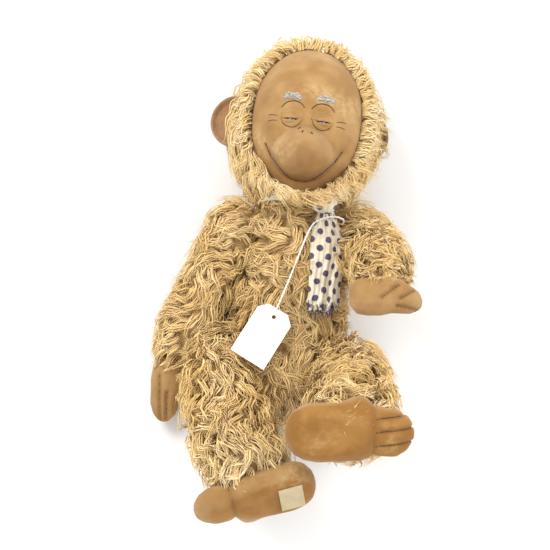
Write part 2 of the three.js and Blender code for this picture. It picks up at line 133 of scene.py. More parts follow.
def add_studio():
    add_light("key", (-0.75, 0.65, 0.95), (0, 0.02, 0.04), 0.6, 13)
    add_light("fill", (0.85, 0.35, 0.8), (0, 0.02, 0.04), 0.7, 7.5)
    add_light("feet_fill", (0.1, -1.0, 0.55), (0, 0, 0.05), 0.7, 3.5)
    world = bpy.data.worlds.new("studio")
    world.use_nodes = True
    world.node_tree.nodes["Background"].inputs["Color"].default_value = (1, 1, 1, 1)
    world.node_tree.nodes["Background"].inputs["Strength"].default_value = 0.8
    bpy.context.scene.world = world
    bpy.context.scene.view_settings.view_transform = "Standard"
    bpy.ops.mesh.primitive_plane_add(size=6, location=(0, 0, 0))
    floor = bpy.context.object
    floor.name = "floor"
    floor.data.materials.append(plain_floor())


# ---------- shader maths ----------
class Wire:
    """A shader socket that adds up, multiplies and compares like a number."""

    def __init__(self, paint, socket):
        self.paint = paint
        self.socket = socket

    def _math(self, operation, *others):
        values = {0: self}
        values.update(dict(enumerate(others, 1)))
        return self.paint.node("ShaderNodeMath", {"operation": operation}, values)

    def __add__(self, other):
        return self._math("ADD", other)

    __radd__ = __add__

    def __sub__(self, other):
        return self._math("SUBTRACT", other)

    def __rsub__(self, other):
        return self * -1 + other

    def __mul__(self, other):
        return self._math("MULTIPLY", other)

    __rmul__ = __mul__

    def __truediv__(self, other):
        return self._math("DIVIDE", other)

    def __mod__(self, other):
        return self._math("FLOORED_MODULO", other)

    def __pow__(self, other):
        return self._math("POWER", other)

    def sin(self):
        return self._math("SINE")

    def clamp(self):
        return self.paint.node("ShaderNodeClamp", {}, {"Value": self})

    def step(self, low, high):
        """0 below low, 1 above high, smooth between."""
        values = {"Value": self, "From Min": low, "From Max": high}
        return self.paint.node("ShaderNodeMapRange", {"interpolation_type": "SMOOTHSTEP"}, values)


class Paint:
    """A procedural material on one Principled shader."""

    def __init__(self, name, **uniform):
        self.material = bpy.data.materials.new(name)
        self.material.use_nodes = True
        self.tree = self.material.node_tree
        self.shader = self.tree.nodes["Principled BSDF"]
        for socket, value in uniform.items():
            self.shader.inputs[socket.replace("_", " ")].default_value = value

    def node(self, kind, settings, values, output=0):
        made = self.tree.nodes.new(kind)
        for setting, value in settings.items():
            if setting == "stops":
                self._set_stops(made.color_ramp, value)
            else:
                setattr(made, setting, value)
        for key, value in values.items():
            if isinstance(value, Wire):
                self.tree.links.new(value.socket, made.inputs[key])
            else:
                made.inputs[key].default_value = value
        return Wire(self, made.outputs[output])

    @staticmethod
    def _set_stops(ramp, stops):
        while len(ramp.elements) < len(stops):
            ramp.elements.new(0.5)
        for element, (place, colour) in zip(ramp.elements, stops):
            element.position = place
            element.color = (*colour, 1)

    def place(self):
        return self.node("ShaderNodeTexCoord", {}, {}, "Object")

    def attribute(self, name):
        return self.node("ShaderNodeAttribute", {"attribute_name": name}, {}, "Fac")

    def noise(self, scale, detail=3.0, where=None):
        values = {"Vector": where or self.place(), "Scale": scale, "Detail": detail}
        return self.node("ShaderNodeTexNoise", {}, values, "Fac")

    def ramp(self, amount, stops):
        return self.node("ShaderNodeValToRGB", {"stops": stops}, {"Fac": amount}, "Color")

    def mix(self, amount, one, two, how="MIX"):
        values = {0: amount, 6: colour_of(one), 7: colour_of(two)}
        return self.node("ShaderNodeMix", {"data_type": "RGBA", "blend_type": how}, values, 2)

    def xyz(self, vector):
        return [self.node("ShaderNodeSeparateXYZ", {}, {0: vector}, k) for k in range(3)]

    def finish(self, colour=None, roughness=None, height=None, bump=0.3, depth=0.001):
        if colour is not None:
            self._feed("Base Color", colour)
        if roughness is not None:
            self._feed("Roughness", roughness)
        if height is not None:
            values = {"Height": height, "Strength": bump, "Distance": depth}
            self._feed("Normal", self.node("ShaderNodeBump", {}, values, "Normal"))
        return self.material

    def _feed(self, socket, wire):
        self.tree.links.new(wire.socket, self.shader.inputs[socket])


def colour_of(value):
    return value if isinstance(value, Wire) else (*value, 1)


# ---------- materials ----------
def plain_floor():
    paint = Paint("floor_paper", Roughness=0.6)
    paper = paint.ramp(paint.noise(3), [(0.0, (0.86, 0.87, 0.88)), (1.0, (0.9, 0.91, 0.92))])
    return paint.finish(colour=paper)


def mohair():
    paint = Paint("mohair", Sheen_Weight=0.3, Sheen_Roughness=0.4, Specular_IOR_Level=0.3)
    shade = paint.attribute("shade")
    strand = paint.attribute("strand")
    along = paint.attribute("along")
    fibre = {"X": paint.attribute("across") * 9, "Y": along * 1.3, "Z": strand * 57}
    lines = paint.noise(1.0, 2, paint.node("ShaderNodeCombineXYZ", {}, fibre)).step(0.3, 0.7)
    patch = paint.noise(34, 3).step(0.34, 0.66)
    # The along term makes each strand darker at its root and lighter towards its tip: painted shade of the
    # pile over its roots. shade, strand, lines and patch vary the tone at random; pale lightens chosen
    # pieces.
    tone = shade * 0.14 + strand * 0.14 + lines * 0.16 + patch * 0.26 + along.step(0.0, 0.3) * 0.14
    tone = tone + paint.attribute("pale") * 0.25 + 0.04
    stops = [(0.05, (0.60, 0.36, 0.115)), (0.38, (0.78, 0.52, 0.19)), (0.68, (0.89, 0.66, 0.31)),
             (1.0, (0.95, 0.81, 0.54))]
    return paint.finish(colour=paint.ramp(tone, stops), roughness=0.5 + 0.25 * shade)


def backing():
    paint = Paint("mohair_backing", Sheen_Weight=0.3)
    grain = paint.noise(700, 4)
    blotch = paint.noise(60, 4)
    stops = [(0.25, (0.60, 0.37, 0.13)), (0.75, (0.78, 0.54, 0.24))]
    return paint.finish(colour=paint.ramp(grain * 0.6 + blotch * 0.4, stops), roughness=0.85 + 0.1 * grain,
                        height=grain, bump=0.9, depth=0.0012)


def velveteen(name, pale, deep, worn):
    """Short rubbed pile: a fine grain, cloudy wear and lighter high spots."""
    paint = Paint(name, Sheen_Weight=0.18, Sheen_Roughness=0.45, Specular_IOR_Level=0.2)
    grain = paint.noise(2300, 3)
    cloud = paint.noise(55, 5).step(0.3, 0.7)
    brushed = paint.noise(260, 4)
    cloth = paint.mix(cloud * 0.7 + brushed * 0.3, deep, pale)
    under = paint.mix(cloud * 0.7 + brushed * 0.3, (0.26, 0.115, 0.024), (0.38, 0.19, 0.048))
    cloth = paint.mix(paint.attribute("sole").clamp(), cloth, under)
    wear = (paint.noise(28, 5).step(0.54, 0.72) * brushed.step(0.35, 0.65)).clamp()
    colour = paint.mix(wear * 0.6, cloth, worn)
    # Darkens towards dark brown by the attribute set on each piece: painted shade in the stitched grooves, at
    # the face's rim, over the lower muzzle and round the sunken eyes, together with darker seams and patches.
    colour = paint.mix(paint.attribute("stain").clamp(), colour, (0.19, 0.085, 0.03))
    return paint.finish(colour=colour, roughness=0.75 + 0.2 * grain, height=grain + brushed * 1.5,
                        bump=0.35, depth=0.0006)


def felt():
    paint = Paint("ear_felt", Sheen_Weight=0.4)
    fuzz = paint.noise(900, 6)
    cloud = paint.noise(90, 4)
    colour = paint.ramp(fuzz * 0.5 + cloud * 0.5, [(0.3, (0.20, 0.095, 0.035)), (0.7, (0.42, 0.235, 0.105))])
    return paint.finish(colour=colour, roughness=0.85 + 0.1 * fuzz, height=fuzz, bump=0.6, depth=0.0007)


def eye_glass():
    paint = Paint("eye_glass", Roughness=0.06, Coat_Weight=0.6, Specular_IOR_Level=0.7)
    swirl = paint.noise(500, 3)
    return paint.finish(colour=paint.ramp(swirl, [(0.35, (0.02, 0.02, 0.06)), (0.7, (0.15, 0.14, 0.38))]))


def brow_wool():
    paint = Paint("brow_wool", Sheen_Weight=0.3)
    colour = paint.ramp(paint.noise(900, 3), [(0.3, (0.42, 0.36, 0.30)), (0.7, (0.80, 0.77, 0.72))])
    return paint.finish(colour=colour, roughness=0.8 + 0.1 * paint.noise(400))


def thread(name, dark, light):
    paint = Paint(name)
    twist = paint.noise(1600, 2)
    return paint.finish(colour=paint.ramp(twist, [(0.3, dark), (0.7, light)]), roughness=0.7 + 0.2 * twist)


SPOT = dict(across=12.6, size=2.4)     # mm between the spots in a row, and their radius


def spotted_cotton():
    """Cream plain weave with staggered round spots. Its UV map is in millimetres of cloth."""
    paint = Paint("spotted_cotton", Sheen_Weight=0.15)
    cloth = paint.node("ShaderNodeUVMap", {"uv_map": "cloth"}, {}, "UV")
    wobble = paint.noise(0.5, 2, cloth)
    u, v, _ = paint.xyz(cloth)
    nearest = None
    for shift in (0.0, 0.5):
        du = (u / SPOT["across"] + shift) % 1.0 - 0.5
        dv = (v / SPOT["across"] + shift) % 1.0 - 0.5
        away = (du * du + dv * dv) ** 0.5 * SPOT["across"]
        nearest = away if nearest is None else nearest._math("MINIMUM", away)
    spot = 1 - (nearest + (wobble - 0.5) * 0.9).step(SPOT["size"] - 0.2, SPOT["size"] + 0.25)
    weave = (u * 9).sin() * (v * 9).sin()
    soil = paint.noise(0.12, 5, cloth).step(0.35, 0.75)
    ground = paint.mix(soil, (0.82, 0.75, 0.60), (0.62, 0.53, 0.38))
    ink = paint.mix(wobble, (0.022, 0.012, 0.06), (0.075, 0.045, 0.15))
    colour = paint.mix(spot * 0.95, ground, ink)
    return paint.finish(colour=colour, roughness=0.8 + 0.1 * weave, height=weave, bump=0.35, depth=0.0003)


def card_stock():
    paint = Paint("ticket_card", Specular_IOR_Level=0.3)
    pulp = paint.noise(500, 6)
    handled = paint.noise(40, 4).step(0.4, 0.8)
    colour = paint.mix(handled * 0.6 + pulp * 0.1, (0.93, 0.93, 0.92), (0.84, 0.83, 0.79))
    return paint.finish(colour=colour, roughness=0.55 + 0.2 * pulp, height=pulp, bump=0.15, depth=0.0003)


def cotton_string():
    paint = Paint("string_cotton", Sheen_Weight=0.2)
    fuzz = paint.noise(2200, 3)
    colour = paint.ramp(fuzz, [(0.3, (0.72, 0.70, 0.66)), (0.6, (0.92, 0.91, 0.89))])
    return paint.finish(colour=colour, roughness=0.8 + 0.1 * fuzz, height=fuzz, bump=0.3, depth=0.0003)


def woven_tape():
    paint = Paint("woven_tape")
    x, y, z = paint.xyz(paint.place())
    weave = ((x + y) * 9000).sin() * ((z - x) * 9000).sin()
    soil = paint.noise(160, 4)
    colour = paint.mix(soil, (0.72, 0.62, 0.40), (0.50, 0.38, 0.20))
    return paint.finish(colour=colour, roughness=0.8 + 0.1 * weave, height=weave, bump=0.5, depth=0.0003)


def hardboard():
    paint = Paint("hardboard")
    fibre = paint.noise(600, 6)
    colour = paint.ramp(fibre, [(0.3, (0.16, 0.09, 0.045)), (0.7, (0.30, 0.19, 0.10))])
    return paint.finish(colour=colour, roughness=0.6 + 0.2 * fibre, height=fibre, bump=0.3, depth=0.0004)


def dull_steel():
    paint = Paint("dull_steel", Metallic=1.0)
    wear = paint.noise(300, 5)
    colour = paint.ramp(wear, [(0.3, (0.32, 0.31, 0.30)), (0.7, (0.60, 0.60, 0.59))])
    return paint.finish(colour=colour, roughness=0.3 + 0.3 * wear, height=wear, bump=0.1, depth=0.0002)


def wood_wool():
    paint = Paint("wood_wool")
    strands = paint.noise(350, 6)
    colour = paint.ramp(strands, [(0.3, (0.42, 0.30, 0.14)), (0.7, (0.78, 0.66, 0.42))])
    return paint.finish(colour=colour, roughness=0.9 * strands + 0.3, height=strands, bump=0.8, depth=0.002)


# ---------- mesh helpers ----------
def new_object(name, verts, faces, material=None):
    mesh = bpy.data.meshes.new(name)
    mesh.from_pydata([tuple(v) for v in verts], [], [tuple(f) for f in faces])
    mesh.validate()
    made = bpy.data.objects.new(name, mesh)
    bpy.context.collection.objects.link(made)
    if material:
        mesh.materials.append(material)
    smooth(made)
    return made


def smooth(piece):
    piece.data.polygons.foreach_set("use_smooth", [True] * len(piece.data.polygons))


def points_of(piece):
    flat = np.empty(len(piece.data.vertices) * 3)
    piece.data.vertices.foreach_get("co", flat)
    return flat.reshape(-1, 3)


def set_points(piece, points):
    piece.data.vertices.foreach_set("co", points.ravel())
    piece.data.update()


def normals_of(piece):
    flat = np.empty(len(piece.data.vertices) * 3)
    piece.data.vertices.foreach_get("normal", flat)
    return flat.reshape(-1, 3)


def outward(piece):
    shape = bmesh.new()
    shape.from_mesh(piece.data)
    bmesh.ops.recalc_face_normals(shape, faces=shape.faces)
    shape.to_mesh(piece.data)
    shape.free()


def settled(piece):
    """The piece with its modifiers worked into its mesh."""
    depsgraph = bpy.context.evaluated_depsgraph_get()
    done = bpy.data.meshes.new_from_object(piece.evaluated_get(depsgraph))
    old = piece.data
    piece.modifiers.clear()
    piece.data = done
    bpy.data.meshes.remove(old)
    return piece


def biggest_island(piece):
    """Drops every loose part but the largest one."""
    shape = bmesh.new()
    shape.from_mesh(piece.data)
    left = set(shape.verts)
    islands = []
    while left:
        todo = [left.pop()]
        island = [todo[0]]
        while todo:
            for edge in todo.pop().link_edges:
                for vert in edge.verts:
                    if vert in left:
                        left.remove(vert)
                        island.append(vert)
                        todo.append(vert)
        islands.append(island)
    islands.sort(key=lambda part: max(v.co.y for v in part) - min(v.co.y for v in part))
    spare = [vert for island in islands[:-1] for vert in island]
    bmesh.ops.delete(shape, geom=spare, context="VERTS")
    shape.to_mesh(piece.data)
    shape.free()


def soft_copy(name, nodes, voxel, rounds, material):
    """One smooth closed skin round some CAD nodes."""
    verts, faces = [], []
    for node in nodes:
        mesh = bpy.data.objects[node].data
        base = len(verts)
        verts += [v.co.copy() for v in mesh.vertices]
        faces += [[base + k for k in p.vertices] for p in mesh.polygons]
    made = new_object(name, verts, faces, material)
    remesh = made.modifiers.new("remesh", "REMESH")
    remesh.mode = "VOXEL"
    remesh.voxel_size = voxel
    settled(made)
    biggest_island(made)
    relax = made.modifiers.new("relax", "SMOOTH")
    relax.factor = 0.5
    relax.iterations = rounds
    settled(made)
    if not made.data.materials:
        made.data.materials.append(material)
    smooth(made)
    return made


SWELL_PRESSURE = 90.0           # more than a seat pad needs, as the pieces are small and firmly packed
SWELL_FRAMES = 20
SWELL_QUALITY = 4
CLOTH_MASS = 0.08               # kg for each point
SWELL_CAP = 2.5 * MM            # how far the cloth may move
SWELL_START = 0.3 * MM          # how far inside its final place the cloth starts


def swell(piece):
    """Presses the cloth out from inside, as its stuffing does."""
    final = points_of(piece)
    set_points(piece, final - normals_of(piece) * SWELL_START)
    cloth = piece.modifiers.new("cloth", "CLOTH")
    cloth.settings.quality = SWELL_QUALITY
    cloth.settings.mass = CLOTH_MASS
    cloth.settings.use_pressure = True
    cloth.settings.uniform_pressure_force = SWELL_PRESSURE
    cloth.settings.effector_weights.gravity = 0
    cloth.collision_settings.use_collision = False
    cloth.point_cache.frame_start = 1
    cloth.point_cache.frame_end = SWELL_FRAMES
    for frame in range(1, SWELL_FRAMES + 1):
        bpy.context.scene.frame_set(frame)
    shaped = piece.evaluated_get(bpy.context.evaluated_depsgraph_get()).to_mesh()
    swollen = np.empty(len(final) * 3)
    shaped.vertices.foreach_get("co", swollen)
    piece.evaluated_get(bpy.context.evaluated_depsgraph_get()).to_mesh_clear()
    piece.modifiers.remove(cloth)
    bpy.context.scene.frame_set(1)
    move = swollen.reshape(-1, 3) - final
    away = np.linalg.norm(move, axis=1)
    set_points(piece, final + move * (np.minimum(away, SWELL_CAP) / np.maximum(away, 1e-9))[:, None])


def bezier(a, b, c, t):
    return a * (1 - t) ** 2 + b * 2 * t * (1 - t) + c * t * t


def run_along(a, middle, c):
    """Points and directions on a smooth line through three places."""
    control = middle * 2 - (a + c) / 2
    line = [bezier(a, control, c, k / 24) for k in range(25)]
    ways = [(line[min(k + 1, 24)] - line[max(k - 1, 0)]).normalized() for k in range(25)]
    return np.array(line), np.array(ways)


# ---------- mohair pile ----------
LOCK_KINDS = 10
LOCK_STRANDS = 8
LOCK_RINGS = 7
STRAND_SIDES = 3


def strand(rng, foot, height, wave, swing):
    """A flat tapered strand of unit length along X, and how far along and across it each point is."""
    verts, faces, marks = [], [], []
    lift = rng.uniform(0.0, 0.16)
    half = rng.uniform(0.015, 0.024)
    spine = []
    for ring in range(LOCK_RINGS):
        t = ring / (LOCK_RINGS - 1)
        sideways = foot * (1 - 0.7 * t * t) + wave(t) + swing * t * t
        spine.append(Vector((t, sideways, height * (1 - math.exp(-7 * t)) * (1 - 0.3 * t) + lift * t**3)))
    for ring, spot in enumerate(spine):
        t = ring / (LOCK_RINGS - 1)
        way = spine[min(ring + 1, LOCK_RINGS - 1)] - spine[max(ring - 1, 0)]
        across = Vector((-way.y, way.x, 0)).normalized()
        thick = half * (0.35 + 0.65 * math.sin(math.pi * min(1.0, t + 0.22)) ** 0.7) * (1 - t**4 * 0.85)
        for side, rise, mark in ((-1, 0, 0.0), (1, 0, 1.0), (0, 0.6, 0.5)):
            verts.append(spot + across * thick * side + Vector((0, 0, thick * rise)))
            marks.append((t, mark))
    for ring in range(LOCK_RINGS - 1):
        for side in range(STRAND_SIDES):
            a = ring * STRAND_SIDES + side
            b = ring * STRAND_SIDES + (side + 1) % STRAND_SIDES
            faces.append((a, b, b + STRAND_SIDES, a + STRAND_SIDES))
    faces.append(tuple(reversed(range(STRAND_SIDES))))
    faces.append(tuple(range((LOCK_RINGS - 1) * STRAND_SIDES, LOCK_RINGS * STRAND_SIDES)))
    return verts, faces, marks


def lock_kinds():
    """A hidden set of wavy locks for the pile to pick from."""
    rng = np.random.default_rng(7)
    kinds = bpy.data.collections.new("locks")
    for kind in range(LOCK_KINDS):
        verts, faces, marks, tints = [], [], [], []
        phase, turns = rng.uniform(0, 2 * math.pi), rng.uniform(0.7, 1.5)
        deep, bend = rng.uniform(0.04, 0.085), rng.uniform(-0.28, 0.28)
        for k in range(LOCK_STRANDS):
            shift = rng.uniform(-0.5, 0.5)

            def wave(t):
                return deep * (math.sin(phase + shift + 2 * math.pi * turns * t) - math.sin(phase + shift))

            foot = 0.17 * (k / (LOCK_STRANDS - 1) - 0.5) + rng.uniform(-0.02, 0.02)
            v, f, m = strand(rng, foot, rng.uniform(0.08, 0.34), wave, bend + rng.uniform(-0.1, 0.1))
            faces += [[i + len(verts) for i in face] for face in f]
            verts += v
            marks += m
            tints += [rng.uniform(0, 1)] * len(v)
        lock = new_object(f"lock_{kind}", verts, faces)
        outward(lock)
        rises = [v.z for v in verts]
        for label, values in (("along", [m[0] for m in marks]), ("across", [m[1] for m in marks]),
                              ("strand", tints), ("rise", rises)):
            lock.data.attributes.new(label, "FLOAT", "POINT").data.foreach_set("value", values)
        bpy.context.collection.objects.unlink(lock)
        kinds.objects.link(lock)
    return kinds


class Tree:
    """A geometry-node tree with named inputs."""

    def __init__(self, name, **inputs):
        self.tree = bpy.data.node_groups.new(name, "GeometryNodeTree")
        self.tree.interface.new_socket("Geometry", in_out="INPUT", socket_type="NodeSocketGeometry")
        self.tree.interface.new_socket("Geometry", in_out="OUTPUT", socket_type="NodeSocketGeometry")
        for label, kind in inputs.items():
            self.tree.interface.new_socket(label.replace("_", " "), in_out="INPUT",
                                           socket_type=f"NodeSocket{kind}")
        self.inputs = self.tree.nodes.new("NodeGroupInput")
        self.output = self.tree.nodes.new("NodeGroupOutput")

    def value(self, label):
        return self.inputs.outputs[label]

    def node(self, kind, settings, values, output=0):
        made = self.tree.nodes.new(kind)
        for setting, value in settings.items():
            setattr(made, setting, value)
        for key, value in values.items():
            if isinstance(value, bpy.types.NodeSocket):
                self.tree.links.new(value, made.inputs[key])
            else:
                made.inputs[key].default_value = value
        return made if output is None else made.outputs[output]

    def end(self, geometry):
        self.tree.links.new(geometry, self.output.inputs[0])
        return self.tree


def pile_tree():
    """Plants locks on a skin, then lays them down over it, and keeps them off the floor."""
    tree = Tree("pile", Locks="Collection", Spacing="Float", Length="Float", Width="Float", Rise="Float",
                Stray="Float", Floor="Float", Seed="Int", Material="Material")

    def named(name, kind="FLOAT"):
        return tree.node("GeometryNodeInputNamedAttribute", {"data_type": kind}, {"Name": name})

    def maths(operation, *values):
        return tree.node("ShaderNodeMath", {"operation": operation}, dict(enumerate(values)))

    def random(low, high, seed):
        return tree.node("FunctionNodeRandomValue", {"data_type": "FLOAT"},
                         {2: low, 3: high, "Seed": seed}, 1)

    skin = tree.value("Geometry")
    scatter = tree.node("GeometryNodeDistributePointsOnFaces", {"distribute_method": "POISSON"}, {
        "Mesh": skin, "Distance Min": tree.value("Spacing"), "Density Max": 400000.0,
        "Density Factor": named("pile"), "Seed": tree.value("Seed")}, None)
    stand = tree.node("FunctionNodeAlignRotationToVector", {"axis": "Z"},
                      {"Vector": scatter.outputs["Normal"]})
    lie = tree.node("FunctionNodeAlignRotationToVector", {"axis": "X", "pivot_axis": "Z"},
                    {"Rotation": stand, "Vector": named("comb", "FLOAT_VECTOR")})
    swerve = maths("MULTIPLY", tree.value("Stray"), random(-1.0, 1.0, 13))
    euler = tree.node("FunctionNodeEulerToRotation", {},
                      {0: tree.node("ShaderNodeCombineXYZ", {}, {"Z": swerve})})
    turned = tree.node("FunctionNodeRotateRotation", {"rotation_space": "LOCAL"}, {0: lie, 1: euler})
    kind = tree.node("FunctionNodeRandomValue", {"data_type": "INT"}, {4: 0, 5: LOCK_KINDS - 1, "Seed": 3}, 2)
    long = maths("MULTIPLY", maths("MULTIPLY", tree.value("Length"), named("reach")), random(0.72, 1.22, 5))
    wide = maths("MULTIPLY", tree.value("Length"), tree.value("Width"))
    size = tree.node("ShaderNodeCombineXYZ", {}, {"X": long, "Y": wide, "Z": tree.value("Length")})
    locks = tree.node("GeometryNodeCollectionInfo", {}, {
        "Collection": tree.value("Locks"), "Separate Children": True, "Reset Children": True})
    planted = tree.node("GeometryNodeInstanceOnPoints", {}, {
        "Points": scatter.outputs["Points"], "Instance": locks, "Pick Instance": True,
        "Instance Index": kind, "Rotation": turned, "Scale": size})
    for label, value in (("shade", random(0.0, 1.0, 11)), ("free", random(0.1, 1.0, 17))):
        planted = tree.node("GeometryNodeStoreNamedAttribute", {"data_type": "FLOAT", "domain": "INSTANCE"},
                            {"Geometry": planted, "Name": label, "Value": value})
    real = tree.node("GeometryNodeRealizeInstances", {}, {"Geometry": planted})
    place = tree.node("GeometryNodeInputPosition", {}, {})

    def sampled(value):
        return tree.node("GeometryNodeSampleNearestSurface", {"data_type": "FLOAT_VECTOR"},
                         {"Mesh": skin, "Value": value, "Sample Position": place})

    height = maths("MULTIPLY", maths("MULTIPLY", named("rise"), tree.value("Length")), tree.value("Rise"))
    height = maths("MULTIPLY", height, named("tall"))
    above = tree.node("ShaderNodeVectorMath", {"operation": "SCALE"},
                      {0: sampled(named("out", "FLOAT_VECTOR")), "Scale": height})
    laid = tree.node("ShaderNodeVectorMath", {"operation": "ADD"}, {0: sampled(place), 1: above})
    freedom = maths("MULTIPLY", maths("MULTIPLY", named("loose"), named("free")), named("along"))
    mixed = tree.node("ShaderNodeMix", {"data_type": "VECTOR"}, {0: freedom, 4: laid, 5: place}, 1)
    parts = tree.node("ShaderNodeSeparateXYZ", {}, {0: mixed}, None)
    lifted = maths("MAXIMUM", parts.outputs["Z"], tree.value("Floor"))
    kept = tree.node("ShaderNodeCombineXYZ", {},
                     {"X": parts.outputs["X"], "Y": parts.outputs["Y"], "Z": lifted})
    pressed = tree.node("GeometryNodeSetPosition", {}, {"Geometry": real, "Position": kept})
    return tree.end(tree.node("GeometryNodeSetMaterial", {}, {
        "Geometry": pressed, "Material": tree.value("Material")}))


def set_input(modifier, label, value):
    for item in modifier.node_group.interface.items_tree:
        if item.item_type == "SOCKET" and item.in_out == "INPUT" and item.name == label:
            modifier[item.identifier] = value


def grown(name, base, tree, **inputs):
    """A new plain mesh made by a tree from a copy of the base."""
    made = bpy.data.objects.new(name, base.data.copy())
    bpy.context.collection.objects.link(made)
    modifier = made.modifiers.new("grow", "NODES")
    modifier.node_group = tree
    for label, value in inputs.items():
        set_input(modifier, label.replace("_", " "), value)
    settled(made)
    smooth(made)
    return made


def comb_pile(skin, ways, pile, reach=1.0, loose=0.5, pale=0.0, tall=1.25, swirl=0.7, size=22.0):
    """Stores on a skin which way its pile lies, and how dense, long, loose, pale and high it is."""
    points = points_of(skin)
    normals = normals_of(skin)
    combed = np.empty_like(points)
    lengths = np.empty(len(points))
    for k, (point, normal, way) in enumerate(zip(points, normals, ways)):
        spot = Vector(point) / (size * MM)
        turn = swirl * math.pi * noise.noise(spot)
        turn += 0.4 * swirl * math.pi * noise.noise(spot * 2.3 + Vector((9, 4, 1)))
        flat = Vector(way) - Vector(normal) * Vector(way).dot(Vector(normal))
        combed[k] = Matrix.Rotation(turn, 3, Vector(normal)) @ flat.normalized()
        lengths[k] = 1 + 0.3 * noise.noise(spot * 1.6 + Vector((3, 7, 2)))
    store(skin, "comb", combed)
    store(skin, "out", normals)
    store(skin, "pile", pile)
    store(skin, "reach", lengths * np.asarray(reach))
    store(skin, "loose", np.broadcast_to(loose, len(points)))
    store(skin, "pale", np.broadcast_to(pale, len(points)))
    store(skin, "tall", np.broadcast_to(tall, len(points)))


def store(piece, name, values):
    values = np.ascontiguousarray(values, dtype=float)
    if values.ndim == 2:
        piece.data.attributes.new(name, "FLOAT_VECTOR", "POINT").data.foreach_set("vector", values.ravel())
    else:
        piece.data.attributes.new(name, "FLOAT", "POINT").data.foreach_set("value", values)


LOCK_SPACING = 4.3 * MM
MOST_LOCKS = 600                # in one piece, to keep it light enough
LOCK_FOOTPRINT = 0.74           # of the spacing squared that one lock takes up


def area_of(piece):
    return sum(face.area for face in piece.data.polygons)


def grow_pile(name, body, skin, length, spacing=LOCK_SPACING):
    """Locks all over a skin, as coats that are each light enough for one piece."""
    coats = max(1, math.ceil(area_of(skin) * LOCK_FOOTPRINT / spacing**2 / MOST_LOCKS))
    for coat in range(coats):
        made = grown(f"mohair_{name}_{coat + 1}", skin, PILE, Locks=LOCKS, Spacing=spacing * math.sqrt(coats),
                     Length=length * MM, Width=0.95, Rise=1.0 + 0.35 * (coat % 2), Stray=0.28, Floor=FLOOR,
                     Seed=11 + 7 * coat + len(name), Material=FINISH["mohair"])
        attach(made, body)


# ---------- stuffed pieces ----------
LOCK_LONG = 23.0                # mm
LIMB_FLAT = 36 * MM             # radius about a joint within which a limb is flat beside the torso
LIMB_FLAT_DEEP = 2.0 * MM       # depth of that flat, where a limb's pile is thin
THIN_PILE = 0.15
PALE_END = 48 * MM              # from the hand or foot up to where the pile turns pale and loose
LIMB_VOXEL = 2.6 * MM
BODY_VOXEL = 2.8 * MM           # torso and head


def furry_limb(limb, far, joint):
    """A limb's cloth skin and its pile, combed from the joint towards the hand or foot."""
    cover = f"{limb}_cover"
    skin = soft_copy(f"{limb}_skin", [cover, f"{limb}_stuffing"], LIMB_VOXEL, 10, FINISH["backing"])
    swell(skin)
    line, line_ways = run_along(JOINT_AT[joint], centre(cover), centre(far))
    points = points_of(skin)
    nearest = np.linalg.norm(points[:, None] - line[None], axis=2).argmin(axis=1)
    pile = np.ones(len(points))
    beside = np.linalg.norm((points - np.array(JOINT_AT[joint]))[:, 1:], axis=1) < LIMB_FLAT
    pile[beside & (np.abs(points[:, 0]) < abs(JOINT_AT[joint].x) + LIMB_FLAT_DEEP)] = THIN_PILE
    end = np.clip(1 - np.linalg.norm(points - np.array(centre(far)), axis=1) / PALE_END, 0, 1)
    top = np.clip((points[:, 1] - JOINT_AT[joint].y) / (20 * MM) - 0.2, 0, 1) * (limb == "arm_left")
    comb_pile(skin, line_ways[nearest], pile, reach=1 + 0.35 * end + 0.3 * top,
              loose=0.4 + 0.4 * end + 0.6 * top, pale=0.9 * end, tall=1.7 + 1.8 * top)
    grow_pile(limb, limb, skin, LOCK_LONG)
    finish_skin(skin, limb, cover)


def finish_skin(skin, body, cover):
    dress(skin, body, "mohair", cover)


def furry_torso():
    skin = soft_copy("torso_skin", ["torso_cover", "torso_stuffing"], BODY_VOXEL, 8, FINISH["backing"])
    swell(skin)
    points = points_of(skin)
    down = np.zeros_like(points)
    down[:, 1] = -1.0
    down[:, 0] = points[:, 0] * 8
    pile = np.where(points[:, 1] > NECK.y - 4 * MM, 0.2, 1.0)
    comb_pile(skin, down, pile, swirl=1.15, size=26)
    grow_pile("torso", "torso", skin, LOCK_LONG)
    finish_skin(skin, "torso", "torso_cover")


def head_local(points):
    """Places in the frame of the part, in millimetres from the neck joint and square to the head."""
    back = Matrix.Rotation(-HEAD_LEAN, 3, "Z")
    return (points - np.array(NECK)) @ np.array(back).T / MM


def furry_head():
    skin = soft_copy("head_skin", ["head_cover", "head_stuffing"], BODY_VOXEL, 6, FINISH["backing"])
    local = head_local(points_of(skin))
    away = np.stack([local[:, 0] / SKULL["wide"], (local[:, 1] - SKULL["y"]) / SKULL["tall"],
                     np.full(len(local), -0.35)], axis=1)
    away[:, 1] -= 0.5
    oval = (np.abs(local[:, 0]) / (MASK["wide"] - 3)) ** 2.2
    oval += (np.abs(local[:, 1] - MASK["y"]) / (MASK["tall"] - 3)) ** 2.2
    face = (oval < 1) & (local[:, 2] > SKULL["z"])
    pile = np.where(face, 0.0, 1.0)
    pile[local[:, 1] < 2.5] = 0.3
    beard = np.clip((26 - local[:, 1]) / 18, 0, 1) * (local[:, 2] > -10)
    ring = np.clip(1 - np.abs(local[:, 2] - 12) / 30, 0, 1)
    crown = np.clip((local[:, 1] - 86) / 18, 0, 1)
    lean = np.clip(local[:, 0] / 35, -1, 1)
    comb_pile(skin, away, pile, reach=0.95 + 0.3 * beard - 0.34 * crown - 0.17 * lean,
              loose=np.clip(0.35 + 0.3 * ring + 0.6 * beard, 0, 1),
              pale=0.35, tall=1.3 + 0.7 * ring, swirl=0.55)
    grow_pile("head", "head", skin, LOCK_LONG)
    finish_skin(skin, "head", "head_cover")
    grow_fringe()


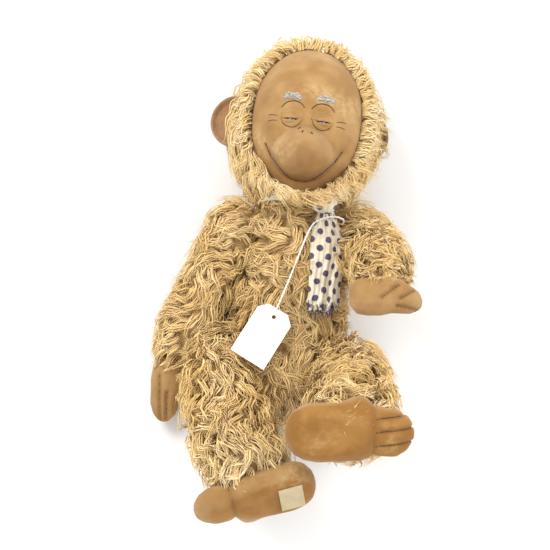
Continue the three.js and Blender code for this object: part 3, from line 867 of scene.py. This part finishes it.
def grow_fringe():
    """A fuller ring of pile along the seam of the face, and the beard that hides the band of the tie."""
    turns = 72
    verts, faces, ways, chins = [], [], [], []
    for k in range(turns):
        angle = 2 * math.pi * k / turns
        chin = max(0.0, -math.sin(angle)) ** 2
        crown = max(0.0, math.sin(angle)) ** 2
        edge = face_height(MASK["wide"] * 0.97 * math.cos(angle),
                           MASK["y"] + MASK["tall"] * 0.97 * math.sin(angle))
        for ring in range(3):
            reach = 1.0 + (0.09 - 0.065 * crown) * ring
            x = MASK["wide"] * reach * math.cos(angle)
            y = MASK["y"] + MASK["tall"] * reach * math.sin(angle)
            verts.append(head_point(x, y, float(edge) - 3.0 + ring * (9.0 * chin - 2.5 * (1 - chin))))
            ways.append((math.cos(angle), math.sin(angle) - 0.35, 0.5 * chin))
            chins.append(chin)
        a, b = 3 * k, 3 * ((k + 1) % turns)
        faces += [(a, a + 1, b + 1, b), (a + 1, a + 2, b + 2, b + 1)]
    strip = new_object("seam_strip", verts, faces)
    outward_up(strip)
    chins = np.array(chins)
    comb_pile(strip, ways, np.ones(len(verts)), reach=0.68 + 0.57 * chins, loose=1.0 + 0.8 * chins, pale=0.6,
              tall=1.1, swirl=0.5)
    grow_pile("face_fringe", "head", strip, LOCK_LONG, spacing=LOCK_SPACING * 0.62)
    bpy.data.objects.remove(strip)


# ---------- face ----------
def bump_at(x, y, cx, cy, sx, sy):
    return np.exp(-(((x - cx) / sx) ** 2 + ((y - cy) / sy) ** 2))


MOUTH = dict(wide=27.8, top=31.3, bottom=8.3, bend=2.3)


def mouth_line(t):
    """The stitched smile, from the right corner at t = 0 to the left at t = 1, in mm from the neck."""
    u = 2 * t - 1
    return MOUTH["wide"] * u, MOUTH["bottom"] + (MOUTH["top"] - MOUTH["bottom"]) * abs(u) ** MOUTH["bend"]


def face_height(x, y):
    """How far the front of the face stands from the neck joint's plane, in mm."""
    x = np.asarray(x, dtype=float)
    y = np.asarray(y, dtype=float)
    u = x / (SKULL["wide"] + MASK_LIFT)
    v = (y - SKULL["y"]) / (SKULL["tall"] + MASK_LIFT)
    skull = SKULL["z"] + (SKULL["deep"] + MASK_LIFT) * np.sqrt(np.clip(1 - u * u - v * v, 0.004, 1))
    below = y < MUZZLE["y"]
    tall = np.where(below, MUZZLE["below"], MUZZLE["above"])
    inside = np.clip(1 - (x / MUZZLE["wide"]) ** 2 - ((y - MUZZLE["y"]) / tall) ** 2, 0, 1)
    rise = np.clip((y - MUZZLE["y"]) / MUZZLE["above"], 0, 1)
    face = skull + MUZZLE["deep"] * inside ** (0.55 + 0.4 * rise)
    face -= 1.2 * bump_at(x, y, 0, MOUTH["bottom"] - 1.5, 20, 4)
    face += 3.6 * bump_at(x, y, 0, 45, 7.5, 8)
    for way in (-1, 1):
        face += 1.5 * bump_at(x, y, way * 12, 62, 9, 4)
        face -= 2.6 * bump_at(x, y, way * EYE["apart"], EYE["y"], 6.5, 6.5)
        face += 2.2 * bump_at(x, y, way * 27, 38, 7, 9)
        face -= 0.8 * bump_at(x, y, way * 3.4 - 0.4, 37.4, 1.8, 1.5)
    return face


def face_point(x, y, lift=0.0):
    return head_point(x, y, float(face_height(x, y)) + lift)


def face_grooves(x, y):
    """Depth of the stitched lines in the cloth, in mm."""
    line = np.array([mouth_line(t) for t in np.linspace(0, 1, 70)])
    away = np.min(np.hypot(x[:, None] - line[None, :, 0], y[:, None] - line[None, :, 1]), axis=1)
    return 1.5 * np.exp(-((away / 1.5) ** 2))


def make_face():
    """The velveteen mask with its padded muzzle, one closed cloth that turns in at the seam."""
    rings, sides = 84, 168
    t = np.linspace(0, 1, rings + 1)[1:]
    angle = 2 * math.pi * np.arange(sides) / sides
    power = 2 / 2.15
    ca = np.sign(np.cos(angle)) * np.abs(np.cos(angle)) ** power
    sa = np.sign(np.sin(angle)) * np.abs(np.sin(angle)) ** power
    x = np.concatenate([[0], (MASK["wide"] * t[:, None] * ca[None]).ravel()])
    outer = MASK["y"] + MASK["tall"] * sa[None]
    y = np.concatenate([[MASK["y"] - 6], ((MASK["y"] - 6) * (1 - t[:, None]) + outer * t[:, None]).ravel()])
    edge = np.concatenate([[0], np.repeat(t, sides)])
    z = face_height(x, y) - face_grooves(x, y)
    z -= 3.2 * np.clip((edge - 0.96) / 0.04, 0, 1) ** 2
    eye_hole = np.zeros(len(x))
    for way in (-1, 1):
        eye_hole += np.exp(-(((x - way * EYE["apart"]) / 3.6) ** 4 + ((y - EYE["y"] + 0.4) / 1.5) ** 4))
    z -= 3.0 * eye_hole
    verts = [head_point(a, b, c) for a, b, c in zip(x, y, z)]
    faces = [(0, 1 + (k + 1) % sides, 1 + k)[::-1] for k in range(sides)]
    for ring in range(rings - 1):
        for k in range(sides):
            a = 1 + ring * sides + k
            b = 1 + ring * sides + (k + 1) % sides
            faces.append((a, a + sides, b + sides, b))
    face = new_object("face", verts, faces, FINISH["velveteen"])
    outward_up(face)
    # Darkening: the cheek patch, the mouth groove, the rim where the cloth turns in under the fur, the lower
    # muzzle and the sunken eyes are painted shade; the temple patch is a darker patch.
    stain = 0.42 * np.exp(-((dark_patch_distance(x, y)) ** 2)) + 0.45 * np.clip(face_grooves(x, y) / 1.5, 0, 1)
    stain += 0.2 * np.clip((edge - 0.94) / 0.06, 0, 1)
    stain += 0.3 * bump_at(x, y, 0, 22, 20, 15)
    for way in (-1, 1):
        stain += 0.3 * bump_at(x, y, way * EYE["apart"], EYE["y"] + 1, 6, 5)
    face.data.attributes.new("stain", "FLOAT", "POINT").data.foreach_set("value", np.clip(stain, 0, 1))
    wall = face.modifiers.new("wall", "SOLIDIFY")
    wall.thickness = 1.5 * MM
    wall.offset = -1
    settled(face)
    smooth(face)
    dress(face, "head", "velveteen", "face_mask", "muzzle")
    return face


def dark_patch_distance(x, y):
    """Distance from the dark patches at the temple and at the cheek beside the muzzle, scaled to their size;
    the cheek one is painted shade where the muzzle meets the cheek.
    """
    temple = np.hypot((x + 33) / 8, (y - 66) / 11)
    cheek = np.hypot((x + 27) / 6, (y - 43) / 6)
    return np.minimum(temple, cheek)


def grid(rows, columns):
    """Faces of an open sheet whose points run along its columns, row by row."""
    corners = [r * (columns + 1) + c for r in range(rows) for c in range(columns)]
    return [(a, a + 1, a + columns + 2, a + columns + 1) for a in corners]


def outward_up(piece):
    """Turns an open front sheet so that its faces look out of the front."""
    shape = bmesh.new()
    shape.from_mesh(piece.data)
    shape.normal_update()
    if sum(f.normal.z * f.calc_area() for f in shape.faces) < 0:
        bmesh.ops.reverse_faces(shape, faces=shape.faces)
    shape.to_mesh(piece.data)
    shape.free()


def dress(piece, body, slot, *nodes):
    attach(piece, body)
    if nodes:
        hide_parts(*nodes)


def tube(name, points, radius, material, sides=8, widths=None):
    """A closed tube along points, whose radius may change by point."""
    points = [Vector(p) for p in points]
    verts, faces = [], []
    normal = None
    count = len(points)
    for k, point in enumerate(points):
        way = (points[min(k + 1, count - 1)] - points[max(k - 1, 0)]).normalized()
        if normal is None:
            normal = way.orthogonal().normalized()
        normal = (normal - way * normal.dot(way)).normalized()
        side = way.cross(normal)
        thick = radius * (widths[k] if widths is not None else 1)
        for s in range(sides):
            a = 2 * math.pi * s / sides
            verts.append(point + (normal * math.cos(a) + side * math.sin(a)) * thick)
    for k in range(count - 1):
        for s in range(sides):
            a = k * sides + s
            b = k * sides + (s + 1) % sides
            faces.append((a, b, b + sides, a + sides))
    faces.append(tuple(reversed(range(sides))))
    faces.append(tuple(range((count - 1) * sides, count * sides)))
    made = new_object(name, verts, faces, material)
    outward(made)
    return made


def join(name, pieces):
    """Several plain meshes as one piece."""
    shape = bmesh.new()
    for piece in pieces:
        shape.from_mesh(piece.data)
    mesh = bpy.data.meshes.new(name)
    shape.to_mesh(mesh)
    shape.free()
    mesh.materials.append(pieces[0].data.materials[0])
    made = bpy.data.objects.new(name, mesh)
    bpy.context.collection.objects.link(made)
    for piece in pieces:
        bpy.data.objects.remove(piece)
    smooth(made)
    return made


def face_thread(name, points, radius=0.35, lift=0.15):
    """A thread laid on the face through points given in mm, thin at its ends."""
    fine = spline([Vector((x, y, 0)) for x, y in points], 26)
    laid = [face_point(p.x, p.y, lift) for p in fine]
    taper = [0.45 + 0.55 * math.sin(math.pi * k / 25) ** 0.5 for k in range(26)]
    return tube(name, laid, radius * MM, FINISH["dark_thread"], 6, widths=taper)


def spline(points, count):
    """Points evenly spread on a smooth line through the given ones."""
    dense = []
    padded = [points[0] * 2 - points[1], *points, points[-1] * 2 - points[-2]]
    for k in range(1, len(padded) - 2):
        a, b, c, d = padded[k - 1:k + 3]
        for step in range(24):
            t = step / 24
            dense.append(0.5 * ((2 * b) + (c - a) * t + (2 * a - 5 * b + 4 * c - d) * t * t
                                + (3 * b - a - 3 * c + d) * t**3))
    dense.append(points[-1])
    run = [0.0]
    for a, b in zip(dense, dense[1:]):
        run.append(run[-1] + (b - a).length)
    out = []
    k = 0
    for i in range(count):
        want = run[-1] * i / (count - 1)
        while k < len(run) - 2 and run[k + 1] < want:
            k += 1
        part = (want - run[k]) / max(run[k + 1] - run[k], 1e-9)
        out.append(dense[k].lerp(dense[k + 1], min(part, 1.0)))
    return out


def stitch_tree():
    tree = Tree("stitches", Stitch="Object", Count="Int", Material="Material")
    points = tree.node("GeometryNodeCurveToPoints", {"mode": "COUNT"},
                       {"Curve": tree.node("GeometryNodeMeshToCurve", {}, {"Mesh": tree.value("Geometry")}),
                        "Count": tree.value("Count")}, None)
    shape = tree.node("GeometryNodeObjectInfo", {}, {"Object": tree.value("Stitch")}, "Geometry")
    planted = tree.node("GeometryNodeInstanceOnPoints", {}, {
        "Points": points.outputs["Points"], "Instance": shape, "Rotation": points.outputs["Rotation"]})
    real = tree.node("GeometryNodeRealizeInstances", {}, {"Geometry": planted})
    return tree.end(tree.node("GeometryNodeSetMaterial", {}, {
        "Geometry": real, "Material": tree.value("Material")}))


def stitch_shape(name, long, thick):
    """A short plump stitch along Z."""
    steps = 5
    points = [Vector((0, 0, long * (k / (steps - 1) - 0.5))) for k in range(steps)]
    widths = [0.35, 0.9, 1.0, 0.9, 0.35]
    made = tube(name, points, thick, FINISH["dark_thread"], 6, widths=widths)
    bpy.context.collection.objects.unlink(made)
    return made


def stitched(name, body, points, count, stitch, slot="velveteen"):
    """A row of stitches along points in the frame of the part."""
    mesh = bpy.data.meshes.new(name)
    mesh.from_pydata([tuple(p) for p in points], [(k, k + 1) for k in range(len(points) - 1)], [])
    line = bpy.data.objects.new(name + "_line", mesh)
    bpy.context.collection.objects.link(line)
    made = grown(name, line, STITCHES, Stitch=stitch, Count=count, Material=FINISH["dark_thread"])
    bpy.data.objects.remove(line)
    dress(made, body, slot)
    return made


def make_mouth():
    laid = [face_point(*mouth_line(t), -1.15) for t in np.linspace(0, 1, 90)]
    stitched("mouth_stitches", "head", laid, 34, STITCH["long"])


def make_eyes():
    for side, way in (("right", -1), ("left", 1)):
        cx, cy = way * EYE["apart"], EYE["y"]
        ball = eyeball(f"eyeball_{side}", head_point(cx, cy, EYE["z"]))
        dress(ball, "head", "eye_glass", f"eye_{side}")
        make_lids(side, cx, cy)
        creases = [
            face_thread(f"lid_arc_{side}", [(cx - 8.6, cy + 8.0), (cx - 5, cy + 11.6), (cx, cy + 12.8),
                                            (cx + 5, cy + 11.8), (cx + 8.6, cy + 8.4)], 0.38),
            face_thread(f"lid_loop_{side}", [(cx - 7.6, cy + 0.4), (cx - 5.6, cy - 4.2),
                                             (cx - 0.6 * way, cy - 6.4), (cx + 5.2, cy - 4.6),
                                             (cx + 7.4, cy - 0.6)], 0.3),
        ]
        for k, drop in enumerate((1.6, -1.8)):
            start = (cx + way * 10.5, cy + drop)
            end = (cx + way * 17.5, cy + 1.4 * drop + 0.3)
            middle = ((start[0] + end[0]) / 2, (start[1] + end[1]) / 2 + 0.4)
            creases.append(face_thread(f"crow_foot_{side}_{k}", [start, middle, end], 0.28, 0.05))
        dress(join(f"eye_creases_{side}", creases), "head", "velveteen")


def eyeball(name, place):
    shape = bmesh.new()
    bmesh.ops.create_uvsphere(shape, u_segments=32, v_segments=20, radius=EYE["radius"] * MM)
    bmesh.ops.translate(shape, verts=shape.verts, vec=place)
    mesh = bpy.data.meshes.new(name)
    shape.to_mesh(mesh)
    shape.free()
    mesh.materials.append(FINISH["eye_glass"])
    made = bpy.data.objects.new(name, mesh)
    bpy.context.collection.objects.link(made)
    smooth(made)
    return made


def make_lids(side, cx, cy):
    """Two soft folds of velveteen that leave a narrow slit over the glass."""
    wide, rows, columns = 8.2, 14, 30
    for part, sign, reach in (("upper", 1, 6.4), ("lower", -1, 4.0)):
        verts = []
        for r in range(rows + 1):
            t = r / rows
            for c in range(columns + 1):
                s = 2 * c / columns - 1
                edge = 0.35 * (1 - s * s) if sign > 0 else -0.75 * (1 - s * s)
                x = cx + s * wide
                y = cy + edge + sign * t * reach * math.sqrt(max(0.0, 1 - s * s)) * 1.05
                over = (EYE["radius"] + 1.15) ** 2 - (0.62 * (x - cx)) ** 2 - (y - cy) ** 2
                dome = EYE["z"] + math.sqrt(max(0.0, over))
                skin = float(face_height(x, y)) + 0.25
                blend = min(1.0, max(0.0, (1 - s * s) * 1.6)) * (1 - t**3)
                roll = -0.5 * (1 - min(1.0, t * 5)) ** 2
                verts.append(head_point(x, y, skin * (1 - blend) + max(dome, skin) * blend + roll))
        lid = new_object(f"lid_{part}_{side}", verts, grid(rows, columns), FINISH["velveteen"])
        outward_up(lid)
        wall = lid.modifiers.new("wall", "SOLIDIFY")
        wall.thickness = 0.7 * MM
        wall.offset = -1
        settled(lid)
        smooth(lid)
        dress(lid, "head", "velveteen", *([f"eyelid_{side}"] if sign > 0 else []))


def make_nostrils():
    marks = []
    for k, (x, y, lean) in enumerate(((-4.8, 42.0, 0.7), (-2.2, 38.4, 0.2), (4.4, 38.2, -0.4))):
        ends = [(x - 1.4 * lean, y - 0.9), (x, y + 0.1), (x + 1.4 * lean, y + 0.9)]
        marks.append(face_thread(f"nostril_{k}", ends, 0.6, 0.1))
    dress(join("nostril_stitches", marks), "head", "velveteen")


def make_brows():
    """Small tufts of whitish wool, brushed outwards."""
    for side, way in (("right", -1), ("left", 1)):
        rng = np.random.default_rng(21 + way)
        hairs = []
        for _ in range(120):
            x = way * BROW["apart"] + rng.uniform(-5.6, 5.6)
            y = BROW["y"] + rng.normal(0, 1.3) + 0.9 * (1 - ((x - way * BROW["apart"]) / 5.6) ** 2)
            run = rng.uniform(2.2, 3.8)
            heading = way * rng.uniform(0.75, 1.0)
            rise = rng.uniform(-0.5, 0.5)
            root = face_point(x, y, -0.2)
            tip_x, tip_y = x + heading * run, y + rise
            middle = face_point((x + tip_x) / 2, (y + tip_y) / 2, rng.uniform(0.5, 1.6))
            tip = face_point(tip_x, tip_y, rng.uniform(0.2, 1.5))
            hairs.append(tube("hair", [root, middle, tip], 0.22 * MM, FINISH["brow_wool"], 3,
                              widths=[1, 0.9, 0.3]))
        dress(join(f"brow_tuft_{side}", hairs), "head", "brow_wool", f"eyebrow_{side}")


def make_ears():
    """Felt crescents with a rolled rim and a hollow."""
    for side, way in (("right", -1), ("left", 1)):
        rows, columns = 18, 48
        verts = []
        for r in range(rows + 1):
            t = r / rows
            for c in range(columns):
                a = 2 * math.pi * c / columns
                x = way * (EAR_AT[side] + 17 * t * math.cos(a))
                y = 54 + 20 * t * math.sin(a) * (1 - 0.06 * math.cos(a))
                rim = 2.6 * math.exp(-(((t - 0.93) / 0.1) ** 2))
                hollow = -2.2 * (1 - t * t) + rim + 0.5 * noise.noise(Vector((x, y, 0)) * 0.12)
                verts.append(head_point(x, y, 7.0 + hollow - 0.26 * (abs(x) - EAR_AT[side])))
        faces = []
        for r in range(rows):
            for c in range(columns):
                a = r * columns + c
                b = r * columns + (c + 1) % columns
                faces.append((a, b, b + columns, a + columns))
        ear = new_object(f"ear_felt_{side}", verts, faces, FINISH["felt"])
        shape = bmesh.new()
        shape.from_mesh(ear.data)
        bmesh.ops.remove_doubles(shape, verts=shape.verts, dist=1e-6)
        shape.to_mesh(ear.data)
        shape.free()
        outward_up(ear)
        wall = ear.modifiers.new("wall", "SOLIDIFY")
        wall.thickness = 2.6 * MM
        wall.offset = -1
        settled(ear)
        smooth(ear)
        dress(ear, "head", "felt", f"ear_{side}")
        if side == "left":
            cover_ear(ear)


def cover_ear(ear):
    """The folded ear shows its mohair side: long pale locks that hang over the felt."""
    base = bpy.data.objects.new("ear_base", ear.data.copy())
    bpy.context.collection.objects.link(base)
    local = head_local(points_of(base))
    pile = np.clip((EAR_AT["left"] + 11 - local[:, 0]) / 5, 0, 1) * (normals_of(base)[:, 2] > 0.2)
    ways = np.broadcast_to((0.35, -1.0, 0.0), local.shape)
    comb_pile(base, ways, pile, loose=1.0, pale=0.9, tall=1.0, swirl=0.3)
    grow_pile("ear_left", "head", base, 17.0, spacing=LOCK_SPACING * 0.8)
    bpy.data.objects.remove(base)


# ---------- hands and feet ----------
def carve(piece, lines, depth, wide):
    """Presses stitched grooves into a stuffed piece along lines of points."""
    points = points_of(piece)
    normals = normals_of(piece)
    away = np.full(len(points), 1.0)
    for line in lines:
        dense = np.array([tuple(p) for p in spline([Vector(p) for p in line], 40)])
        away = np.minimum(away, np.min(np.linalg.norm(points[:, None] - dense[None], axis=2), axis=1))
    press = np.exp(-((away / wide) ** 2))
    set_points(piece, points - normals * (depth * press)[:, None])
    return press


# Stitched lines between the fingers, in mm, seen from the front.
HAND_LINES = {
    "hand_right": [[(-91.5, -50), (-90, -66), (-88, -84)], [(-84.5, -62), (-84, -74), (-83.5, -86)]],
    "hand_left": [[(63, 6), (68, 11), (74, 16)], [(76, 7), (80, 10), (85, 14)],
                  [(74, 1.5), (83, 1.0), (92, 0.5)]],
}


def laid_on(piece, line, sink=0.0):
    """Points of a line dropped onto a piece from above."""
    bpy.context.view_layer.update()
    out = []
    for point in spline([Vector((x, y, 300)) * MM for x, y in line], 30):
        hit, place, normal, _ = piece.ray_cast(point, Vector((0, 0, -1)))
        if hit:
            out.append(place - normal * sink)
    return out


def make_hand(name, body):
    hand = soft_copy(f"{name}_mitten", [name], 1.2 * MM, 6, FINISH["velveteen"])
    lines = [laid_on(hand, line) for line in HAND_LINES[name]]
    press = carve(hand, lines, 1.9 * MM, 1.7 * MM)
    # Darker along the carved grooves between the fingers: painted shade in the creases, over a slight even
    # darkening.
    store(hand, "stain", np.clip(0.08 + 0.5 * press, 0, 1))
    dress(hand, body, "velveteen", name)
    for k, line in enumerate(HAND_LINES[name]):
        stitched(f"{name}_finger_{k}", body, laid_on(hand, line, 0.2 * MM), 7, STITCH["short"])


# The seam is how far out from the foot's middle the sole is sewn on, and toes are the stitched lines, in mm
# across the sole where the toes start.
FEET = {
    "foot_right": dict(heel=(29, -119, 88), toe=(-0.94, -0.34, 0.02), down=(0.3, -0.74, 0.6), seam=8.0,
                       waist=0.2, toes=()),
    "foot_left": dict(heel=(3.5, -91.5, 129), toe=(0.995, 0.08, 0.02), down=(-0.03, -0.38, 0.92), seam=3.5,
                      waist=0.07, toes=(11.0, 2.0, -8.0)),
}
FOOT_LONG = 89.0
TOE_BASE = 61.0                 # mm from the heel to the seam where the toes start
TOE_SLANT = 0.1


def foot_axes(foot):
    long = Vector(foot["toe"]).normalized()
    down = Vector(foot["down"])
    out = (down - long * down.dot(long)).normalized()
    return long, out, out.cross(long)


def make_foot(name, body):
    """Upper and sole as one stuffed velveteen shape, with a seam round the sole and any stitched toes."""
    foot = FEET[name]
    long, out, across = foot_axes(foot)
    shoe = soft_copy(f"{name}_shoe", [f"{name}_upper", f"{name}_sole"], 1.4 * MM, 6, FINISH["velveteen"])
    points, normals = points_of(shoe), normals_of(shoe)
    local = (points / MM - np.array(foot["heel"])) @ np.array([long, across, out]).T
    t, side, deep = local.T
    waist = foot["waist"] * np.exp(-(((t - TOE_BASE) / 4.0) ** 2))
    toes = np.clip((t - TOE_BASE - 1) / 5, 0, 1)
    press = np.zeros(len(points))
    for start in foot["toes"]:
        line = start + TOE_SLANT * (t - TOE_BASE)
        press = np.maximum(press, toes * np.exp(-(((side - line) / 1.3) ** 2)))
    base = np.exp(-(((t - TOE_BASE) / 1.5) ** 2))
    welt = np.exp(-(((deep - foot["seam"]) / 0.9) ** 2))
    instep = np.exp(-(((t - 52) / 11) ** 2)) * np.clip((side - 6) / 9, 0, 1) * np.clip((9 - deep) / 6, 0, 1)
    lumps = np.array([noise.noise(Vector(p) * 90) for p in points])
    moved = -1.7 * press - 1.2 * base + 0.6 * welt + 0.5 * lumps
    points += normals * (moved * MM)[:, None]
    points -= np.outer(side * waist * MM, np.array(across)) + np.outer(deep * waist * MM, np.array(out))
    points += np.outer(7 * instep * MM, np.array(across))
    set_points(shoe, points)
    # Darker in the toe grooves and in the groove at the toe base: painted shade in the creases. Also slightly
    # darker overall and along the sole's seam.
    store(shoe, "stain", np.clip(0.05 + 0.6 * press + 0.3 * base + 0.12 * welt, 0, 1))
    store(shoe, "sole", np.clip((deep - foot["seam"]) / 1.2, 0, 1))
    dress(shoe, body, "velveteen", f"{name}_upper", f"{name}_sole")
    for k, start in enumerate(foot["toes"]):
        line = []
        for step in range(16):
            run = TOE_BASE + 2 + (FOOT_LONG - TOE_BASE) * step / 15
            beside = start + TOE_SLANT * (run - TOE_BASE)
            spot = Vector(foot["heel"]) + long * run + across * beside + out * 60
            hit, place, normal, _ = shoe.ray_cast(spot * MM, -out)
            if hit and normal.dot(out) > 0.2:
                line.append(place - normal * 0.1 * MM)
        stitched(f"{name}_toe_{k}", body, line, 11, STITCH["short"])


# ---------- tie, string and ticket ----------
# The string's route is the one that the CAD tube follows, in millimetres.
STRING_ROUTE = [
    (34, 68, 68.5), (34.5, 70.5, 73.5), (30, 71.8, 76.4), (25, 71.5, 77.2), (19, 69.6, 77.0), (13, 66, 75.6),
    (9, 58, 74.6), (5.5, 47, 74.0), (2, 35, 73.8), (-1.5, 23, 74.0), (-5, 12, 74.6), (-7.5, 4, 75.8),
    (-9.2, -1.2, 77.6),
]
STRING_RADIUS = 0.7
STRING_RINGS = 150


def make_string():
    fine = spline([Vector(p) * MM for p in STRING_ROUTE], STRING_RINGS)
    sides = 12
    verts, faces = [], []
    normal = Vector((0, 0, 1))
    for k, point in enumerate(fine):
        way = (fine[min(k + 1, STRING_RINGS - 1)] - fine[max(k - 1, 0)]).normalized()
        normal = (normal - way * normal.dot(way)).normalized()
        side = way.cross(normal)
        for s in range(sides):
            a = 2 * math.pi * s / sides
            ply = 1 - 0.3 * abs(math.sin(a - k * 0.55)) ** 3
            verts.append(point + (normal * math.cos(a) + side * math.sin(a)) * STRING_RADIUS * MM * ply)
    for k in range(STRING_RINGS - 1):
        for s in range(sides):
            a = k * sides + s
            b = k * sides + (s + 1) % sides
            faces.append((a, b, b + sides, a + sides))
    faces.append(tuple(reversed(range(sides))))
    faces.append(tuple(range((STRING_RINGS - 1) * sides, STRING_RINGS * sides)))
    string = new_object("twisted_string", verts, faces, FINISH["string"])
    outward(string)
    dress(string, "ticket", "string", "ticket_string")
    length = sum((b - a).length for a, b in zip(fine, fine[1:]))


TIE_LINE = [(21, 79, 74.5), (22, 68, 74), (24.5, 57, 73.5), (25.8, 42, 72.5), (24.6, 25, 72),
            (24.6, 13, 72.5), (23.5, 2, 73)]
# Half of the width that shows, in mm, from the knot at 0 to the end at 1.
TIE_SHOWS = [(0, 4.5), (0.12, 8.2), (0.27, 12.4), (0.42, 13.6), (0.62, 12.2), (0.8, 11.2), (0.9, 12.0),
             (1, 9.0)]
TIE_LONG = 79.0                 # mm, along its middle
PLEATS_FROM = 0.05              # where across it the pleats start, from -1 to 1
PLEAT_FULLNESS = 1.7            # cloth in the pleats over the width that they show
TIE_FRAY = 0.86                 # where along it the crumpled end starts


def table(rows, t):
    return float(np.interp(t, [row[0] for row in rows], [row[1] for row in rows]))


def tie_point(spine, t, s):
    """A point of the pleated cloth: t from the knot to the end, s from -1 to 1 across."""
    k = min(int(t * (len(spine) - 1)), len(spine) - 2)
    middle = spine[k].lerp(spine[k + 1], t * (len(spine) - 1) - k)
    half = table(TIE_SHOWS, t)
    crumple = max(0.0, (t - TIE_FRAY) / (1 - TIE_FRAY))
    folds = 1.25 * math.sin(9.5 * s + 1.1 + 1.6 * t) * (0.25 + 0.75 * (s > -0.15))
    folds += 0.5 * math.sin(21 * s + 5 * t)
    folds *= 0.5 + 0.5 * min(1.0, t * 5)
    back = -2.6 * abs(s) ** 3 - 0.1 * half * s
    rough = Vector((noise.noise(Vector((s * 5, t * 40, 1))), noise.noise(Vector((s * 5, t * 40, 5))),
                    noise.noise(Vector((s * 6, t * 30, 9)))))
    ragged = -3.5 * crumple * noise.noise(Vector((s * 9, 3, 2)))
    place = middle + Vector((half * s, ragged, folds + back)) + Vector((1.6, 2.2, 2.6)) * crumple * rough.z
    place += rough * 2.2 * crumple
    return place * MM


def make_tie():
    """The blade as pleated cloth with a frayed end."""
    spine = spline([Vector(p) for p in TIE_LINE], 60)
    rows, columns = 110, 72
    verts, cloth = [], []
    for r in range(rows + 1):
        for c in range(columns + 1):
            t, s = r / rows, 2 * c / columns - 1
            verts.append(tie_point(spine, t, s))
            flat = min(s, PLEATS_FROM) + max(0.0, s - PLEATS_FROM) * PLEAT_FULLNESS
            cloth.append((flat * table(TIE_SHOWS, 0.4 + 0.3 * t), t * TIE_LONG))
    blade = new_object("tie_cloth", verts, grid(rows, columns), FINISH["spotted_cotton"])
    lay_uv(blade, cloth)
    outward_up(blade)
    wall = blade.modifiers.new("wall", "SOLIDIFY")
    wall.thickness = 0.5 * MM
    wall.offset = 0
    settled(blade)
    smooth(blade)
    dress(blade, "tie", "spotted_cotton", "tie_blade")
    threads = make_fray(spine)


def lay_uv(piece, cloth):
    layer = piece.data.uv_layers.new(name="cloth")
    for loop in piece.data.loops:
        layer.data[loop.index].uv = cloth[loop.vertex_index]


def make_fray(spine):
    """Loose threads at the end of the tie."""
    rng = np.random.default_rng(5)
    threads = []
    for k in range(150):
        s, t = rng.uniform(-1, 1), rng.uniform(0.9, 1.0)
        root = tie_point(spine, t, s)
        run = rng.uniform(2, 7)
        way = Vector((rng.normal(0, 0.45), -1, rng.normal(0.1, 0.4))).normalized()
        middle = root + (way * run * 0.5 + Vector((rng.normal(0, 0.8), 0, rng.uniform(0, 1.2)))) * MM
        tip = root + (way * run + Vector((rng.normal(0, 1.0), 0, rng.normal(0, 0.8)))) * MM
        finish = FINISH["string"] if k % 4 else FINISH["ink_thread"]
        threads.append(tube("thread", [root, middle, tip], 0.16 * MM, finish, 3, widths=[1, 1, 0.5]))
    fray = join("tie_fray", threads)
    dress(fray, "tie", "spotted_cotton")
    return fray


def make_knot():
    """The small gathered knot under the chin and the band that it sits on."""
    knot = cotton_copy("tie_knot_cloth", "tie_knot", 1.0 * MM)
    points = points_of(knot)
    middle = points.mean(axis=0)
    around = np.arctan2(points[:, 2] - middle[2], points[:, 0] - middle[0])
    gather = 0.45 * np.sin(around * 9 + (points[:, 1] - middle[1]) * 300)
    set_points(knot, points + normals_of(knot) * gather[:, None] * MM)
    cotton_copy("neck_band_cloth", "neck_band", 0.9 * MM)


def cotton_copy(name, node, voxel):
    copy = soft_copy(name, [node], voxel, 4, FINISH["spotted_cotton"])
    lay_uv(copy, [(v.co.x / MM + 3, v.co.y / MM + v.co.z / MM * 0.7) for v in copy.data.vertices])
    dress(copy, "torso", "spotted_cotton", node)
    return copy


FINISH = {
    "mohair": mohair(),
    "backing": backing(),
    "velveteen": velveteen("velveteen", (0.45, 0.275, 0.112), (0.31, 0.16, 0.05), (0.58, 0.39, 0.19)),
    "felt": felt(),
    "eye_glass": eye_glass(),
    "brow_wool": brow_wool(),
    "dark_thread": thread("dark_thread", (0.035, 0.016, 0.008), (0.10, 0.05, 0.025)),
    "spotted_cotton": spotted_cotton(),
    "card": card_stock(),
    "string": cotton_string(),
    "ink_thread": thread("ink_thread", (0.02, 0.012, 0.05), (0.09, 0.06, 0.16)),
    "woven_tape": woven_tape(),
    "hardboard": hardboard(),
    "steel": dull_steel(),
    "wood_wool": wood_wool(),
}


def dress_cad_nodes():
    """Gives each CAD piece that stays as it is the finish of its slot."""
    slots = {entry["node"]: entry["material_slot"] for entry in frame["record"]["subparts"]}
    finishes = {"wood_wool", "hardboard", "steel", "card", "spotted_cotton", "woven_tape"}
    for node, slot in slots.items():
        if slot in finishes:
            mesh = bpy.data.objects[node].data
            mesh.materials.clear()
            mesh.materials.append(FINISH[slot])


add_camera()
add_studio()
LOCKS = lock_kinds()
PILE = pile_tree()
STITCHES = stitch_tree()
STITCH = {
    "long": stitch_shape("stitch_long", 2.6 * MM, 0.42 * MM),
    "short": stitch_shape("stitch_short", 2.0 * MM, 0.35 * MM),
}
dress_cad_nodes()
make_string()
make_tie()
make_knot()
furry_torso()
furry_head()
furry_limb("arm_right", "hand_right", "shoulder_right_swing")
furry_limb("arm_left", "hand_left", "shoulder_left_swing")
furry_limb("leg_right", "foot_right_upper", "hip_right_swing")
furry_limb("leg_left", "foot_left_upper", "hip_left_swing")
make_face()
make_mouth()
make_eyes()
make_nostrils()
make_brows()
make_ears()
make_hand("hand_right", "arm_right")
make_hand("hand_left", "arm_left")
make_foot("foot_right", "leg_right")
make_foot("foot_left", "leg_left")
